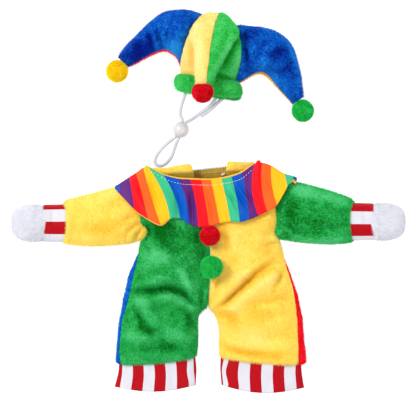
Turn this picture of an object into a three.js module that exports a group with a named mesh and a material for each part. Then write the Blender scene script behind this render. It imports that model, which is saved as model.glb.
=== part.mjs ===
// Pet clown costume: a plush jumpsuit with stuffed arms and a three-horned jester hat, laid out flat.
// Millimetres, +Z up. The set lies on the plane z = 0 and +Y runs from the hems to the hat.
// The jumpsuit is a hollow of front and back panels; arms, mitts, horns and brim are stuffed solids.

import * as THREE from 'three';

// ---------------------------------------------------------------- driving dimensions

const PLUSH = 2.5;          // wall of the plush panels
const SATIN = 1.2;          // wall of one satin layer
const SEAM = 0.3;           // gap between two pieces at a seam

const SIDE_ROLL = 9;        // radius of the back panel's turn round the side of the suit
const LEG_ROLL = 8;         // radius of the back panel's turn at the inner leg
const LEAST_TURN = 0.02;    // share of that radius kept where the panel does not turn
const SEAM_REACH = 16;      // how far from the centre seam or the inner leg a front panel still rises
const SIDE_SLOPE = 0.58;    // slope of a front panel as it leaves the side seam
const CROWDING = 0.6;       // how much a front panel's columns crowd towards its two edges

const ARMHOLE_Y = -14.5;    // middle of the armhole
const ARMHOLE_HALF = 32.5;  // half its length
const ARMHOLE_HIGH = 26;    // height of the sleeve there
const ARMHOLE_BELOW = 2.5;  // how far under the sleeve's top the front panel's edge meets it
const UNDERARM_Z = 19.5;    // the edge's least height at the underarm
const SHOULDER_Z = 22.4;    // and at the shoulder, where it passes over the closure tabs
const SIDE_STRIP = 4.5;     // a narrower strip of back than this shows from under a front's raised edge

const FLATTENED = 1.18;     // an oval this much taller below its middle is cut flat by the ground
const FOLD_CLEAR = 20;      // folds die out over this distance from a seam

const ARM_POINTS = 18;      // points round an arm, a cuff or a mitt
const HEM_POINTS = 26;      // points round a hem
const HORN_POINTS = 18;     // points round a horn
const BRIM_POINTS = 12;     // points round the brim
const PEAK_POINTS = 7;      // steps across one half of the front horn

// Squares of each panel's grid, across and down, and steps along each lofted piece.
const GRID = {
  front: [12, 22], back: [10, 17], collar: [38, 3], neck: [5, 3], crown: [6, 8], crownBack: [4, 8],
};
const STEPS = { hem: 4, sleeve: 8, cuff: 4, mitt: 8, horn: 10, peak: 10, brim: 14, cord: 66, tail: 11, bead: 8 };

const COLLAR_SAG = 1.5;     // how far the collar sags between the neckline and its edge
const COLLAR_GAP = 0.7;     // between the satin and its lining
const COLLAR_PROUD = 0.01;  // share of the collar's depth by which its lining shows past the edge
const NECK_DROOP = 2;       // how far the strips at the neck droop to their lower edge

const HORN_SEAM = -0.2;     // angle of a horn's upper seam, in radians: just under its widest point
const HORN_GAP = 0.35;      // how far a horn's front is lifted off its back along their seams
const CROWN_ROLL = 9;       // radius of the back panel's turn over the top of the crown
const CROWN_WIDE = 50;      // usual width of the crown, which turns the seam's gap into a share of it
const CROWN_FLARE = 1.5;    // above 1, the crown's back narrows late on its way to the top
const DOME_FULL = 0.8;      // below 1, the crown and the front horn rise steeply from their edges
const PEAK_EDGE = 1.5;      // thickness of the front horn at its edges

const MITT_LENGTH = 34;
const MITT_WIDER = 0.8;     // how much further than its cuff a mitt reaches to each side
const MITT_HIGHER = 2;      // and upwards
const MITT_CLOSED = 1.45;   // angle at which its rounded end is closed, in radians
const MITT_SQUARE = 0.7;    // below 1, the end is squarer than an oval
const MITT_LOWER = 0.8;     // share of the end's narrowing that its height follows

const POMPOM_ROUND = 14;    // facets round a pompom
const POMPOM_TALL = 8;      // facets from its top to its bottom
const CORD = 2.8;           // diameter of the round elastic
const CORD_SIDES = 8;
const BEAD = 17.6;          // diameter of the cord stop
const BEAD_BORE = 6.8;      // both strands of the elastic run through it side by side
const BEAD_SIDES = 16;

// Sections of the suit from the neck to the hems. y is at the centre seam or the inner leg, tilt is what the
// side edge adds to it, bow is how far the middle of the section hangs lower. wrap is 1 where the back panel
// turns up round the side and 0 along the armhole, and strip is how wide it then shows beside the front. leg is
// 1 where the panels turn round the inner leg.
const SUIT = table(
  'y tilt bow innerL outerL innerR outerR seamZ crestZ wrap stripL stripR leg',
  [15, 12, 0, 0, -61, 0, 54, 21, 25, 0, 0, 0, 0],
  [5, 12, 0, 0, -70, 0, 69, 22, 26, 0, 0, 0, 0],
  [-10, 7, 0, 1, -71, 1, 71, 22, 27, 0, 0, 0, 0],
  [-26, 4, 0, 1, -71, 1, 72, 23, 27, 0, 0, 0, 0],
  [-42, 3, 0, 2, -70, 2, 74, 23, 27, 0.3, 0, 0, 0],
  [-57, 3, 0, 3, -73, 3, 79, 23, 27, 1, 0.4, 0, 0],
  [-70, 2, 0, 3, -78, 3, 83, 23, 27, 1, 3, 1, 0],
  [-83, 1, 0, 3, -84, 3, 88, 22, 27, 1, 4.6, 1.7, 0],
  [-97, 0, 0, 2, -87, 2, 93, 20, 27, 1, 5, 2.4, 0],
  [-110, -1, 0, 0, -90, 0, 96, 15, 27, 1, 4, 3.6, 0.2],
  [-119, -4, 0, -3, -92, 2, 98, 10, 26, 1, 3.6, 4.6, 0.7],
  [-127, -5, 0, -9, -93, 8, 100, 9, 26, 1, 3, 5.2, 1],
  [-140, -5, 1, -10, -94, 12, 101, 8, 25, 1, 2.4, 6, 1],
  [-154, -5, 2, -10, -95, 12, 103, 8, 23, 1, 2, 7.2, 1],
  [-167, -7, 3, -11, -96, 12, 104, 8, 19, 1, 4, 8.4, 1],
);

// Large folds pressed into the front panels: a line, its half-width, and its depth (a ridge is negative).
const FOLDS = table(
  'fromX fromY toX toY width depth',
  [-84, -98, -38, -96, 5, 5],
  [-46, -96, -14, -111, 5, 5],
  [-76, -108, -31, -107, 6, -2.5],
  [-66, -91, -28, -78, 9, -2.5],
  [-76, -114, -68, -137, 5, 3.5],
  [-24, -117, -16, -137, 4, 3],
  [8, -117, 42, -87, 5, 5],
  [38, -91, 68, -68, 5, 4.5],
  [13, -98, 46, -70, 7, -2.5],
  [79, -77, 70, -96, 5, 3.5],
  [90, -104, 46, -113, 5, 2.5],
  [15, -153, 54, -165, 5, 3],
);

// Sections of the two striped hems, from the leg to the open end.
const HEM_LEFT = table(
  'innerX innerY outerX outerY bow height',
  [-12, -167.8, -94, -174.8, 3, 17],
  [-11, -182, -94, -185, 3.5, 15],
  [-12.6, -198, -98, -199.5, 4.5, 14],
);
const HEM_RIGHT = table(
  'innerX innerY outerX outerY bow height',
  [13.5, -167.8, 101, -174.8, 3, 17],
  [13.2, -182, 99.4, -185, 3.5, 15],
  [14.8, -198, 102, -200.5, 4.5, 14],
);

// Sections of the stuffed sleeves, from the armhole to the wrist.
const SLEEVE_LEFT = table(
  'topX topY lowX lowY height',
  [-72.5, 18, -73, -47, 26],
  [-81, 16, -81, -50, 28],
  [-99, 10, -100, -51.5, 31],
  [-118, 4.5, -121, -51.5, 32],
  [-136, 0, -138, -50, 31],
  [-147, -3, -149, -48.5, 30],
  [-152, -6, -153, -47.5, 28],
);
const SLEEVE_RIGHT = table(
  'topX topY lowX lowY height',
  [73.5, 18, 77.5, -44, 26],
  [81, 16, 84.5, -46, 28],
  [98, 13, 102, -48.5, 31],
  [117, 8, 120, -50, 32],
  [135, 3, 138, -49.5, 31],
  [148, -1, 149, -48, 30],
  [154, -4, 154, -46.5, 28],
);

// Wrist cuffs, drawn in a little at the middle.
const CUFF_LEFT = table(
  'topX topY lowX lowY height',
  [-153.6, -7.5, -153.8, -47, 29],
  [-163, -8.5, -163, -46.5, 27],
  [-172, -8.5, -172, -46, 28],
);
const CUFF_RIGHT = table(
  'topX topY lowX lowY height',
  [154.8, -6, 154.8, -45.5, 29],
  [164, -7, 164, -45, 27],
  [173.5, -7, 173.5, -45, 28],
);

// The collar, a row for each border between two stripes, from its left tip to its right. Its upper edge is a
// fold along each shoulder and the neckline between them; its outer edge rises and falls as a ruffle does.
const COLLAR = table(
  'neckX neckY neckZ edgeX edgeY edgeZ',
  [-97, 12, 24, -97, 10, 25],
  [-92.3, 14.5, 26, -92.3, 4, 30],
  [-82.3, 21, 29, -77, -12, 33],
  [-75, 25.6, 30, -62.2, -22.8, 34],
  [-67.3, 31, 31, -49, -28.4, 35],
  [-62.2, 31.6, 31.5, -39.4, -22.8, 34],
  [-46.1, 23.4, 31, -29, -22, 32.4],
  [-30.8, 19.4, 31, -19.1, -28.1, 33.5],
  [-18.7, 18.6, 31, -10, -31, 35.5],
  [-6.6, 18.1, 31, 1.8, -30.8, 34.5],
  [3.5, 18.1, 31, 12.8, -27.1, 33],
  [14.2, 19.4, 31, 23.8, -25.4, 33],
  [24.9, 21.6, 31, 33.6, -26, 34.5],
  [35.6, 25.6, 31, 43.4, -23.4, 34.5],
  [48.9, 34.5, 31, 53, -19.4, 34],
  [57.2, 37.5, 31, 62.4, -14.7, 34],
  [66.7, 33.2, 30, 72.5, -8, 34],
  [80.5, 25, 28, 83.2, 10.7, 31],
  [90.6, 22.2, 25, 89.6, 18, 27],
  [94.2, 21, 24, 94.4, 15.6, 24],
);

// Flat strips at the neck: the two closure tabs and the back of the neck between them.
const TAB_LEFT = table(
  'topX topY lowX lowY z',
  [-59, 31, -56, 19, 19],
  [-45, 30.5, -43, 17, 20],
  [-32, 33, -30, 16.5, 21],
  [-16.5, 35, -13, 16.5, 21],
);
const TAB_RIGHT = table(
  'topX topY lowX lowY z',
  [22.5, 37.5, 20, 16.5, 21],
  [32, 36.5, 30, 17, 21],
  [41, 36.5, 39, 19, 20],
  [49, 37.5, 50, 27, 19],
);
const NECK_BACK = table(
  'topX topY lowX lowY z',
  [-20, 27.5, -19, 10, 8],
  [2, 30, 2, 10, 7],
  [26, 32.5, 25, 10, 8],
);

// Sections of the side horns, from the crown to the tip. show is the width of the back panel that the front
// panel leaves bare along the lower edge.
const HORN_LEFT = table(
  'topX topY lowX lowY height show',
  [-8, 192.5, -31.5, 142, 28, 0.5],
  [-19, 197, -34, 148, 31, 0.8],
  [-33, 197.4, -39, 152, 33, 1.2],
  [-47, 194, -46, 154.2, 33, 1.5],
  [-60.5, 183.5, -55, 151.6, 30, 1.5],
  [-73.5, 171, -65.8, 146.3, 25, 1],
  [-84.5, 160.5, -75.2, 141.3, 20, 0.6],
  [-91.5, 152, -81.2, 138.6, 16, 0.4],
  [-93.6, 147.3, -82.8, 138, 13, 0.3],
);
const HORN_RIGHT = table(
  'topX topY lowX lowY height show',
  [36.5, 180.5, 37, 122, 28, 0.6],
  [44, 179.5, 43, 125.8, 31, 0.8],
  [57, 178, 51, 129.8, 33, 1.4],
  [71, 174.4, 57.6, 129.8, 32, 1.7],
  [82.5, 166.5, 63.8, 126, 29, 1.5],
  [90, 156.5, 69.3, 120.2, 26, 1],
  [94.5, 142.5, 75.6, 113, 23, 0.7],
  [98, 128, 81.8, 106.3, 20, 0.5],
  [99.6, 115, 86.4, 101.3, 16, 0.3],
  [100.3, 106.6, 89.7, 99, 13, 0.3],
);

// Sections of the crown, from its top to the head opening, and of the front horn, which is folded forward and
// down over it: left edge, seam and right edge.
const CROWN = table(
  'leftX leftY seamX seamY rightX rightY edgeZ crestZ',
  [-3, 190, 11.5, 192.5, 20.5, 189, 11.3, 11.3],
  [-11.5, 180, 8, 181, 30, 178, 23, 27.5],
  [-20.8, 167.5, 5, 167, 34.5, 164, 33, 38],
  [-25.7, 152.5, 2.8, 152, 35, 150, 33, 40],
  [-28.2, 141, 1.2, 139, 34, 136.5, 28, 40],
  [-28.6, 131.8, 0, 127, 28, 123, 20, 37],
);
const PEAK = table(
  'leftX leftY seamX seamY rightX rightY edgeZ crestZ',
  [3.5, 195, 12, 195.6, 15.5, 194.6, 13, 14.5],
  [-3.4, 192.4, 11.4, 193.8, 20.8, 191.4, 16.5, 19.5],
  [-9.6, 187.6, 10.2, 189.4, 26.2, 186.4, 23, 28],
  [-14.6, 180.6, 8.2, 182.4, 31.2, 179, 31, 38],
  [-17.8, 173.8, 6.4, 175.4, 34.2, 172.4, 37, 45],
  [-18.4, 167, 5, 167.6, 35, 165, 40.5, 50],
  [-14.4, 159.6, 3.6, 159, 27.2, 157.5, 43.5, 54],
  [-12.9, 150, 2.4, 149, 20.6, 147, 45, 57],
  [-12.6, 140, 1.2, 139.5, 14.5, 138, 45.5, 58],
  [-12.5, 130, -0.2, 129.5, 8.8, 129, 45, 57],
  [-12.3, 121.5, -0.9, 121.5, 5.6, 121.5, 43, 54],
);

// Centre line of the stuffed brim under the head opening, with its half-width and half-height.
const BRIM = table(
  'x y z wide high',
  [-35, 121, 13, 3, 3],
  [-31, 120.5, 16, 8, 7.5],
  [-20, 119, 24, 9.8, 9],
  [0, 116, 30, 10, 9],
  [18, 113, 26, 9.8, 9],
  [31, 111.5, 17, 9, 8],
  [36, 110.5, 13, 3.5, 3.5],
);

// The elastic, from under the left of the brim, through the bead, round its free loop, back through the bead
// and up to the right of the brim; and the short strand beside its right end.
const CORD_PATH = [
  [-22.4, 113, 13], [-23.2, 109.6, 11], [-24.9, 104.6, 6.5], [-26.7, 99.6, 3], [-28.2, 94.4, 1.8], [-29.1, 88.8, 2.2],
  [-28.2, 84.6, 5], [-26.6, 81.6, 8], [-26.4, 79.2, 8.8], [-29.7, 71.8, 8.8], [-33, 64.4, 8.8], [-36.6, 61.6, 7.2],
  [-41.6, 57.8, 3.4], [-46.8, 53, 1.8], [-51.8, 47.2, 1.6], [-55.2, 41, 1.6], [-55.4, 36.4, 1.6], [-51.4, 33.4, 1.6],
  [-46, 34.6, 1.6], [-41.8, 38.2, 1.6], [-38, 43.4, 1.6], [-35.2, 50.6, 2.4], [-32.8, 57, 5.6], [-30.8, 61.2, 8.2],
  [-30, 63.1, 8.8], [-26.7, 70.5, 8.8], [-23.4, 78, 8.8], [-20.2, 80, 7.6], [-16.4, 82.2, 4.8], [-12, 85.4, 2.2],
  [-6.6, 89.6, 1.8], [-0.4, 94, 2.2], [4.4, 98.4, 4.8], [7.8, 102.8, 8.6], [9.6, 108, 13],
];
const TAIL_PATH = [
  [-7.2, 85.1, 1.8], [-4.4, 87.1, 1.8], [1.4, 91, 1.9], [6.4, 95.3, 3.2], [10.4, 99.2, 5.6], [14.4, 102.8, 8.8],
  [18.2, 107, 12.4],
];
const BEAD_AT = { x: -28.2, y: 71.2, z: 8.8 };
const BEAD_LEAN = THREE.MathUtils.degToRad(-24);    // the bore's turn from the Y axis

const POMPOMS = [
  { name: 'pompom_chest_red', x: 2.5, y: -41.8, z: 35.2, radius: 10.4, colour: '#d00012' },
  { name: 'pompom_chest_green', x: 4, y: -73.2, z: 36.6, radius: 12, colour: '#10b33c' },
  { name: 'pompom_hat_left', x: -95.2, y: 132.6, z: 11, radius: 12, colour: '#ffd500' },
  { name: 'pompom_hat_right', x: 100.2, y: 91, z: 11, radius: 12, colour: '#12a33a' },
  { name: 'pompom_hat_front', x: -5.2, y: 108.9, z: 51.5, radius: 11.4, colour: '#d80014' },
];

const COLOUR = {
  green: '#1fa044', yellow: '#fdd243', blue: '#0050c0', red: '#e00010', white: '#f4f2f6',
  satin: '#ff6f24', lining: '#f2c53c', stripe: '#d84050', elastic: '#e8e8f0', bead: '#efedee',
};
const PLUSH_ROUGHNESS = 0.9;
const SATIN_ROUGHNESS = 0.5;
const CORD_ROUGHNESS = 0.7;
const BEAD_ROUGHNESS = 0.3;

// ---------------------------------------------------------------- tables and curves

// Rows of numbers under named columns.
function table(names, ...rows) {
  return rows.map((row) => Object.fromEntries(names.split(' ').map((name, i) => [name, row[i]])));
}

const mix = THREE.MathUtils.lerp;
const clamp = THREE.MathUtils.clamp;

// A table column read smoothly at a place from 0, the first row, to 1, the last.
function column(rows, name, place) {
  const last = rows.length - 1;
  const at = clamp(place, 0, 1) * last;
  const first = Math.min(Math.floor(at), last - 1);
  const t = at - first;
  const value = (row) => rows[clamp(row, 0, last)][name];
  const [a, b, c, d] = [-1, 0, 1, 2].map((step) => value(first + step));
  return 0.5 * (2 * b + (c - a) * t + (2 * a - 5 * b + 4 * c - d) * t ** 2 + (3 * b - a - 3 * c + d) * t ** 3);
}

// 0 at a seam and 1 from `reach` away from it on, as cloth swells away from a seam.
function swell(distance, reach) {
  return Math.sin((Math.PI / 2) * clamp(distance / reach, 0, 1));
}

// The same, but upright at the seam, as cloth turns over an edge.
function bulge(distance, reach) {
  return Math.sqrt(1 - (1 - clamp(distance / reach, 0, 1)) ** 2);
}

// ---------------------------------------------------------------- closed solids

// A closed solid from points and faces of three or four corners, turned to point outwards.
function solid(points, faces) {
  const index = faces.flatMap(([a, b, c, d]) => (d === undefined ? [a, b, c] : [a, b, c, a, c, d]));
  let volume = 0;
  for (let i = 0; i < index.length; i += 3) {
    const [a, b, c] = [points[index[i]], points[index[i + 1]], points[index[i + 2]]];
    volume += a.dot(new THREE.Vector3().crossVectors(b, c));
  }
  if (volume < 0) index.reverse();
  const geometry = new THREE.BufferGeometry().setFromPoints(points);
  geometry.setIndex(index);
  geometry.computeVertexNormals();
  return geometry;
}

// The wall between two equal grids of rows and columns of points.
function wallBetween(outer, inner) {
  const rows = outer.length;
  const columns = outer[0].length;
  const points = [...outer.flat(), ...inner.flat()];
  const front = (i, j) => i * columns + j;
  const back = (i, j) => (rows + i) * columns + j;
  const faces = [];
  for (let i = 0; i + 1 < rows; i++) {
    for (let j = 0; j + 1 < columns; j++) {
      faces.push([front(i, j), front(i, j + 1), front(i + 1, j + 1), front(i + 1, j)]);
      faces.push([back(i, j), back(i + 1, j), back(i + 1, j + 1), back(i, j + 1)]);
    }
  }
  for (let i = 0; i + 1 < rows; i++) {
    faces.push([front(i, 0), front(i + 1, 0), back(i + 1, 0), back(i, 0)]);
    faces.push([front(i + 1, columns - 1), front(i, columns - 1), back(i, columns - 1), back(i + 1, columns - 1)]);
  }
  for (let j = 0; j + 1 < columns; j++) {
    faces.push([front(0, j + 1), front(0, j), back(0, j), back(0, j + 1)]);
    faces.push([front(rows - 1, j), front(rows - 1, j + 1), back(rows - 1, j + 1), back(rows - 1, j)]);
  }
  return solid(points, faces);
}

// A cloth panel under the surface pointAt(u, v): its show side lies at a depth below the surface and its wall
// goes on inwards from there. facing is the way that the surface looks at its middle.
function panel(pointAt, [across, down], depth, thickness, facing) {
  const step = 0.01;
  const normalAt = (u, v) => {
    const [u0, u1] = [Math.max(u - step, 0), Math.min(u + step, 1)];
    const [v0, v1] = [Math.max(v - step, 0), Math.min(v + step, 1)];
    const along = pointAt(u1, v).sub(pointAt(u0, v));
    return along.cross(pointAt(u, v1).sub(pointAt(u, v0))).normalize();
  };
  const sign = Math.sign(normalAt(0.5, 0.5).dot(facing));
  const grid = (place) => Array.from({ length: down + 1 }, (_, i) => (
    Array.from({ length: across + 1 }, (_, j) => place(j / across, i / down))));
  const layer = (below) => grid((u, v) => pointAt(u, v).addScaledVector(normalAt(u, v), -sign * below));
  return wallBetween(layer(depth), layer(depth + thickness));
}

// A solid through closed rings of equal length, with both ends closed.
function loft(rings) {
  const count = rings[0].length;
  const points = rings.flat();
  const faces = [];
  for (let i = 0; i + 1 < rings.length; i++) {
    for (let j = 0; j < count; j++) {
      const next = (j + 1) % count;
      faces.push([i * count + j, i * count + next, (i + 1) * count + next, (i + 1) * count + j]);
    }
  }
  const close = (ring, start, forward) => {
    const middle = points.length;
    points.push(ring.reduce((sum, point) => sum.add(point), new THREE.Vector3()).divideScalar(count));
    for (let j = 0; j < count; j++) {
      const next = (j + 1) % count;
      faces.push(forward ? [middle, start + j, start + next] : [middle, start + next, start + j]);
    }
  };
  close(rings[0], 0, false);
  close(rings[rings.length - 1], (rings.length - 1) * count, true);
  return solid(points, faces);
}

// An open tube with a wall, through pairs of outer and inner rings.
function openTube(outer, inner) {
  const count = outer[0].length;
  const points = [...outer.flat(), ...inner.flat()];
  const at = (set, i, j) => (set * outer.length + i) * count + (j % count);
  const faces = [];
  const last = outer.length - 1;
  for (let j = 0; j < count; j++) {
    for (let i = 0; i < last; i++) {
      faces.push([at(0, i, j), at(0, i, j + 1), at(0, i + 1, j + 1), at(0, i + 1, j)]);
      faces.push([at(1, i, j), at(1, i + 1, j), at(1, i + 1, j + 1), at(1, i, j + 1)]);
    }
    faces.push([at(0, 0, j + 1), at(0, 0, j), at(1, 0, j), at(1, 0, j + 1)]);
    faces.push([at(0, last, j), at(0, last, j + 1), at(1, last, j + 1), at(1, last, j)]);
  }
  return solid(points, faces);
}

// A ring round a soft tube that lies on the ground: an oval as high as it is stuffed, flat underneath.
// place(across, z) gives the point at across, from -1 to 1, of its width. inset draws it in by a wall.
function softRing(count, height, place, inset = 0, halfWidth = 1, from = 0, to = 2 * Math.PI) {
  const closed = to - from === 2 * Math.PI;
  return Array.from({ length: closed ? count : count + 1 }, (_, j) => {
    const angle = mix(from, to, j / count);
    const rise = Math.sin(angle) * (height / 2 - inset) * (Math.sin(angle) < 0 ? FLATTENED : 1);
    const across = Math.cos(angle) * (1 - inset / halfWidth);
    return place(across, Math.max(height / 2 + rise, inset));
  });
}

// ---------------------------------------------------------------- the suit

const foldDepth = (x, y) => {
  const point = new THREE.Vector3(x, y, 0);
  return FOLDS.reduce((sum, fold) => {
    const line = new THREE.Line3(
      new THREE.Vector3(fold.fromX, fold.fromY, 0), new THREE.Vector3(fold.toX, fold.toY, 0));
    const distance = line.closestPointToPoint(point, true, new THREE.Vector3()).distanceTo(point);
    return sum + fold.depth * Math.exp(-((distance / fold.width) ** 2));
  }, 0);
};

// One section of the suit's left or right half, read from the table.
function suitSection(side, place) {
  const hand = side === 'L' ? -1 : 1;
  const read = (name) => column(SUIT, name, place);
  const inner = read(`inner${side}`) + hand * SEAM / 2;
  const outer = read(`outer${side}`);
  const wrap = clamp(read('wrap'), 0, 1);
  const strip = clamp(read(`strip${side}`), 0, SIDE_ROLL);
  const planY = (x) => {
    const part = clamp((x - inner) / (outer - inner), 0, 1);
    return read('y') + read('tilt') * part - read('bow') * Math.sin(Math.PI * part);
  };
  return {
    hand, inner, outer, planY, read, wrap, strip: wrap * strip, leg: clamp(read('leg'), 0, 1),
    roll: SIDE_ROLL * Math.max(wrap, LEAST_TURN), turn: wrap * (Math.PI - Math.asin(1 - strip / SIDE_ROLL)),
  };
}

// The front panel swells from the centre seam, or the inner leg, to its crest and falls to the side seam.
function frontPanel(side) {
  const pointAt = (u, v) => {
    const { hand, inner, outer, planY, read, wrap, strip, leg, roll, turn } = suitSection(side, v);
    const edge = outer - hand * (strip + 1.5 * SEAM * wrap);
    const x = mix(inner, edge, mix(u, (1 - Math.cos(Math.PI * u)) / 2, CROWDING));
    const y = planY(x);
    const along = clamp((y - ARMHOLE_Y) / ARMHOLE_HALF, -1, 1);
    const sleeveZ = (ARMHOLE_HIGH / 2) * (1 + Math.sqrt(1 - along ** 2));
    const armZ = Math.max(sleeveZ - ARMHOLE_BELOW, y > ARMHOLE_Y ? SHOULDER_Z : UNDERARM_Z);
    const raised = PLUSH * clamp(1 - strip / SIDE_STRIP, 0, 1);
    const sideZ = mix(armZ, roll * (1 - Math.cos(turn)) + 1.5 * SEAM + raised, wrap);
    const seamZ = mix(read('seamZ'), LEG_ROLL + 3 * SEAM, leg);
    const crestZ = read('crestZ');
    const [fromInner, fromEdge] = [Math.abs(x - inner), Math.abs(edge - x)];
    const sideReach = (Math.PI / 2) * Math.max(crestZ - sideZ, 1) / SIDE_SLOPE;
    const seamDip = 1 - mix(swell(fromInner, SEAM_REACH), bulge(fromInner, SEAM_REACH), leg);
    const sideDip = 1 - swell(fromEdge, sideReach);
    const calm = clamp(Math.min(fromInner, fromEdge) / FOLD_CLEAR, 0, 1);
    const z = crestZ - (crestZ - seamZ) * seamDip - (crestZ - sideZ) * sideDip;
    return new THREE.Vector3(x, y, z - foldDepth(x, y) * calm);
  };
  return panel(pointAt, GRID.front, 0, PLUSH, new THREE.Vector3(0, 0, 1));
}

// The back panel is flat on the ground. It turns up round the inner leg and round the side to the side seam.
function backPanel(side) {
  const pointAt = (u, v) => {
    const { hand, inner, outer, planY, leg, roll, turn } = suitSection(side, v);
    const legRoll = LEG_ROLL * Math.max(leg, LEAST_TURN);
    const legTurn = leg * Math.PI / 2;
    const legArc = legRoll * legTurn;
    const flat = Math.abs(outer - inner) - roll - legRoll;
    const along = u * (legArc + flat + roll * turn);
    let x = inner + hand * (legRoll + along - legArc);
    let z = 0;
    if (along < legArc) {
      const angle = legTurn * (1 - along / legArc);
      x = inner + hand * legRoll * (1 - Math.sin(angle));
      z = legRoll * (1 - Math.cos(angle));
    } else if (along > legArc + flat) {
      const angle = (along - legArc - flat) / roll;
      x = outer - hand * roll * (1 - Math.sin(angle));
      z = roll * (1 - Math.cos(angle));
    }
    return new THREE.Vector3(x, planY(x), z);
  };
  return panel(pointAt, GRID.back, 0, PLUSH, new THREE.Vector3(0, 0, -1));
}

// A striped hem: a flattened open tube round the leg opening.
function hem(rows) {
  const rings = (inset) => Array.from({ length: STEPS.hem + 1 }, (_, i) => {
    const read = (name) => column(rows, name, i / STEPS.hem);
    const halfWidth = Math.abs(read('outerX') - read('innerX')) / 2;
    return softRing(HEM_POINTS, read('height'), (across, z) => {
      const part = (across + 1) / 2;
      const y = mix(read('innerY'), read('outerY'), part) - read('bow') * Math.sin(Math.PI * part);
      return new THREE.Vector3(mix(read('innerX'), read('outerX'), part), y, z);
    }, inset, halfWidth);
  });
  return openTube(rings(0), rings(2 * SATIN));
}

// A stuffed stretch of arm through the table's sections.
function arm(rows, steps) {
  return loft(Array.from({ length: steps + 1 }, (_, i) => {
    const read = (name) => column(rows, name, i / steps);
    return softRing(ARM_POINTS, read('height'), (across, z) => new THREE.Vector3(
      mix(read('lowX'), read('topX'), (across + 1) / 2), mix(read('lowY'), read('topY'), (across + 1) / 2), z));
  }));
}

// A mitt: a rounded end to the arm, a little fuller than its cuff.
function mitt(cuffRows, hand) {
  const wrist = cuffRows[cuffRows.length - 1];
  const middleY = (wrist.topY + wrist.lowY) / 2;
  const halfWidth = (wrist.topY - wrist.lowY) / 2 + MITT_WIDER;
  return loft(Array.from({ length: STEPS.mitt + 1 }, (_, i) => {
    const angle = (i / STEPS.mitt) * MITT_CLOSED;
    const out = MITT_LENGTH * (Math.sin(angle) / Math.sin(MITT_CLOSED)) ** MITT_SQUARE;
    const shrink = Math.cos(angle) ** MITT_SQUARE;
    const height = (wrist.height + MITT_HIGHER) * mix(1, shrink, MITT_LOWER);
    return softRing(ARM_POINTS, height, (across, z) => (
      new THREE.Vector3(wrist.topX + hand * (SEAM + out), middleY + across * halfWidth * shrink, z)));
  }));
}

// One layer of the collar at a depth below its surface. The lining stands a little proud of the satin's edge.
function collarLayer(depth, proud) {
  const pointAt = (u, v) => {
    const read = (name) => column(COLLAR, name, u);
    const out = v * (1 + proud);
    const sag = COLLAR_SAG * Math.sin(Math.PI * Math.min(out, 1));
    return new THREE.Vector3(
      mix(read('neckX'), read('edgeX'), out),
      mix(read('neckY'), read('edgeY'), out),
      mix(read('neckZ'), read('edgeZ'), out) - sag);
  };
  return panel(pointAt, GRID.collar, depth, SATIN, new THREE.Vector3(0, 0, 1));
}

// A flat strip of cloth at the neck, with its upper edge folded over.
function neckStrip(rows, thickness) {
  const pointAt = (u, v) => {
    const read = (name) => column(rows, name, u);
    return new THREE.Vector3(
      mix(read('topX'), read('lowX'), v), mix(read('topY'), read('lowY'), v), read('z') - NECK_DROOP * v ** 2);
  };
  return panel(pointAt, GRID.neck, 0, thickness, new THREE.Vector3(0, 0, 1));
}

// ---------------------------------------------------------------- the hat

// A stuffed horn is one oval split along its two seams into a front and a back piece.
function hornPieces(rows) {
  const lift = new THREE.Vector3(0, 0, HORN_GAP);
  const pieces = { front: [], back: [] };
  for (let i = 0; i <= STEPS.horn; i++) {
    const read = (name) => column(rows, name, i / STEPS.horn);
    const top = new THREE.Vector3(read('topX'), read('topY'), 0);
    const low = new THREE.Vector3(read('lowX'), read('lowY'), 0);
    const halfWidth = top.distanceTo(low) / 2;
    const place = (across, z) => low.clone().lerp(top, (across + 1) / 2).setZ(z);
    const lowerSeam = Math.PI - Math.acos(1 - read('show') / halfWidth);
    const arc = (from, to) => softRing(HORN_POINTS / 2, read('height'), place, 0, halfWidth, from, to);
    pieces.front.push(arc(HORN_SEAM, lowerSeam).map((point) => point.add(lift)));
    pieces.back.push(arc(HORN_SEAM, lowerSeam - 2 * Math.PI));
  }
  return { front: loft(pieces.front), back: loft(pieces.back) };
}

// A point on a dome, from its left edge through its seam to its right edge, and from its top downwards.
function domePoint(rows, u, v) {
  const read = (name) => column(rows, name, v);
  const through = (axis) => (
    read(`left${axis}`) * (1 - u) * (1 - 2 * u) + read(`seam${axis}`) * 4 * u * (1 - u)
    + read(`right${axis}`) * u * (2 * u - 1));
  const z = mix(read('edgeZ'), read('crestZ'), Math.sin(Math.PI * u) ** DOME_FULL);
  return new THREE.Vector3(through('X'), through('Y'), z);
}

// How far across a dome a share of its left or right half lies: 0 at that half's edge, 1 at the seam.
function acrossDome(side, share) {
  const half = 0.5 - SEAM / 2 / CROWN_WIDE;
  return side === 'L' ? share * half : 1 - share * half;
}

function crownFront(side) {
  return panel(
    (u, v) => domePoint(CROWN, acrossDome(side, u), v), GRID.crown, 0, PLUSH, new THREE.Vector3(0, 0, 1));
}

// Half of the crown's back: flat on the ground, turned up over the top of the crown.
function crownBack(side) {
  const pointAt = (u, v) => {
    const head = domePoint(CROWN, acrossDome(side, u), 0);
    const mouth = domePoint(CROWN, acrossDome(side, u), 1);
    const flat = head.y - CROWN_ROLL - mouth.y;
    const along = v * (flat + CROWN_ROLL * Math.PI / 2);
    const angle = Math.max(along - flat, 0) / CROWN_ROLL;
    const y = mouth.y + Math.min(along, flat) + CROWN_ROLL * Math.sin(angle);
    const part = clamp((y - mouth.y) / (head.y - mouth.y), 0, 1);
    return new THREE.Vector3(mix(mouth.x, head.x, part ** CROWN_FLARE), y, CROWN_ROLL * (1 - Math.cos(angle)));
  };
  return panel(pointAt, GRID.crownBack, 0, PLUSH, new THREE.Vector3(0, 0, -1));
}

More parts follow.
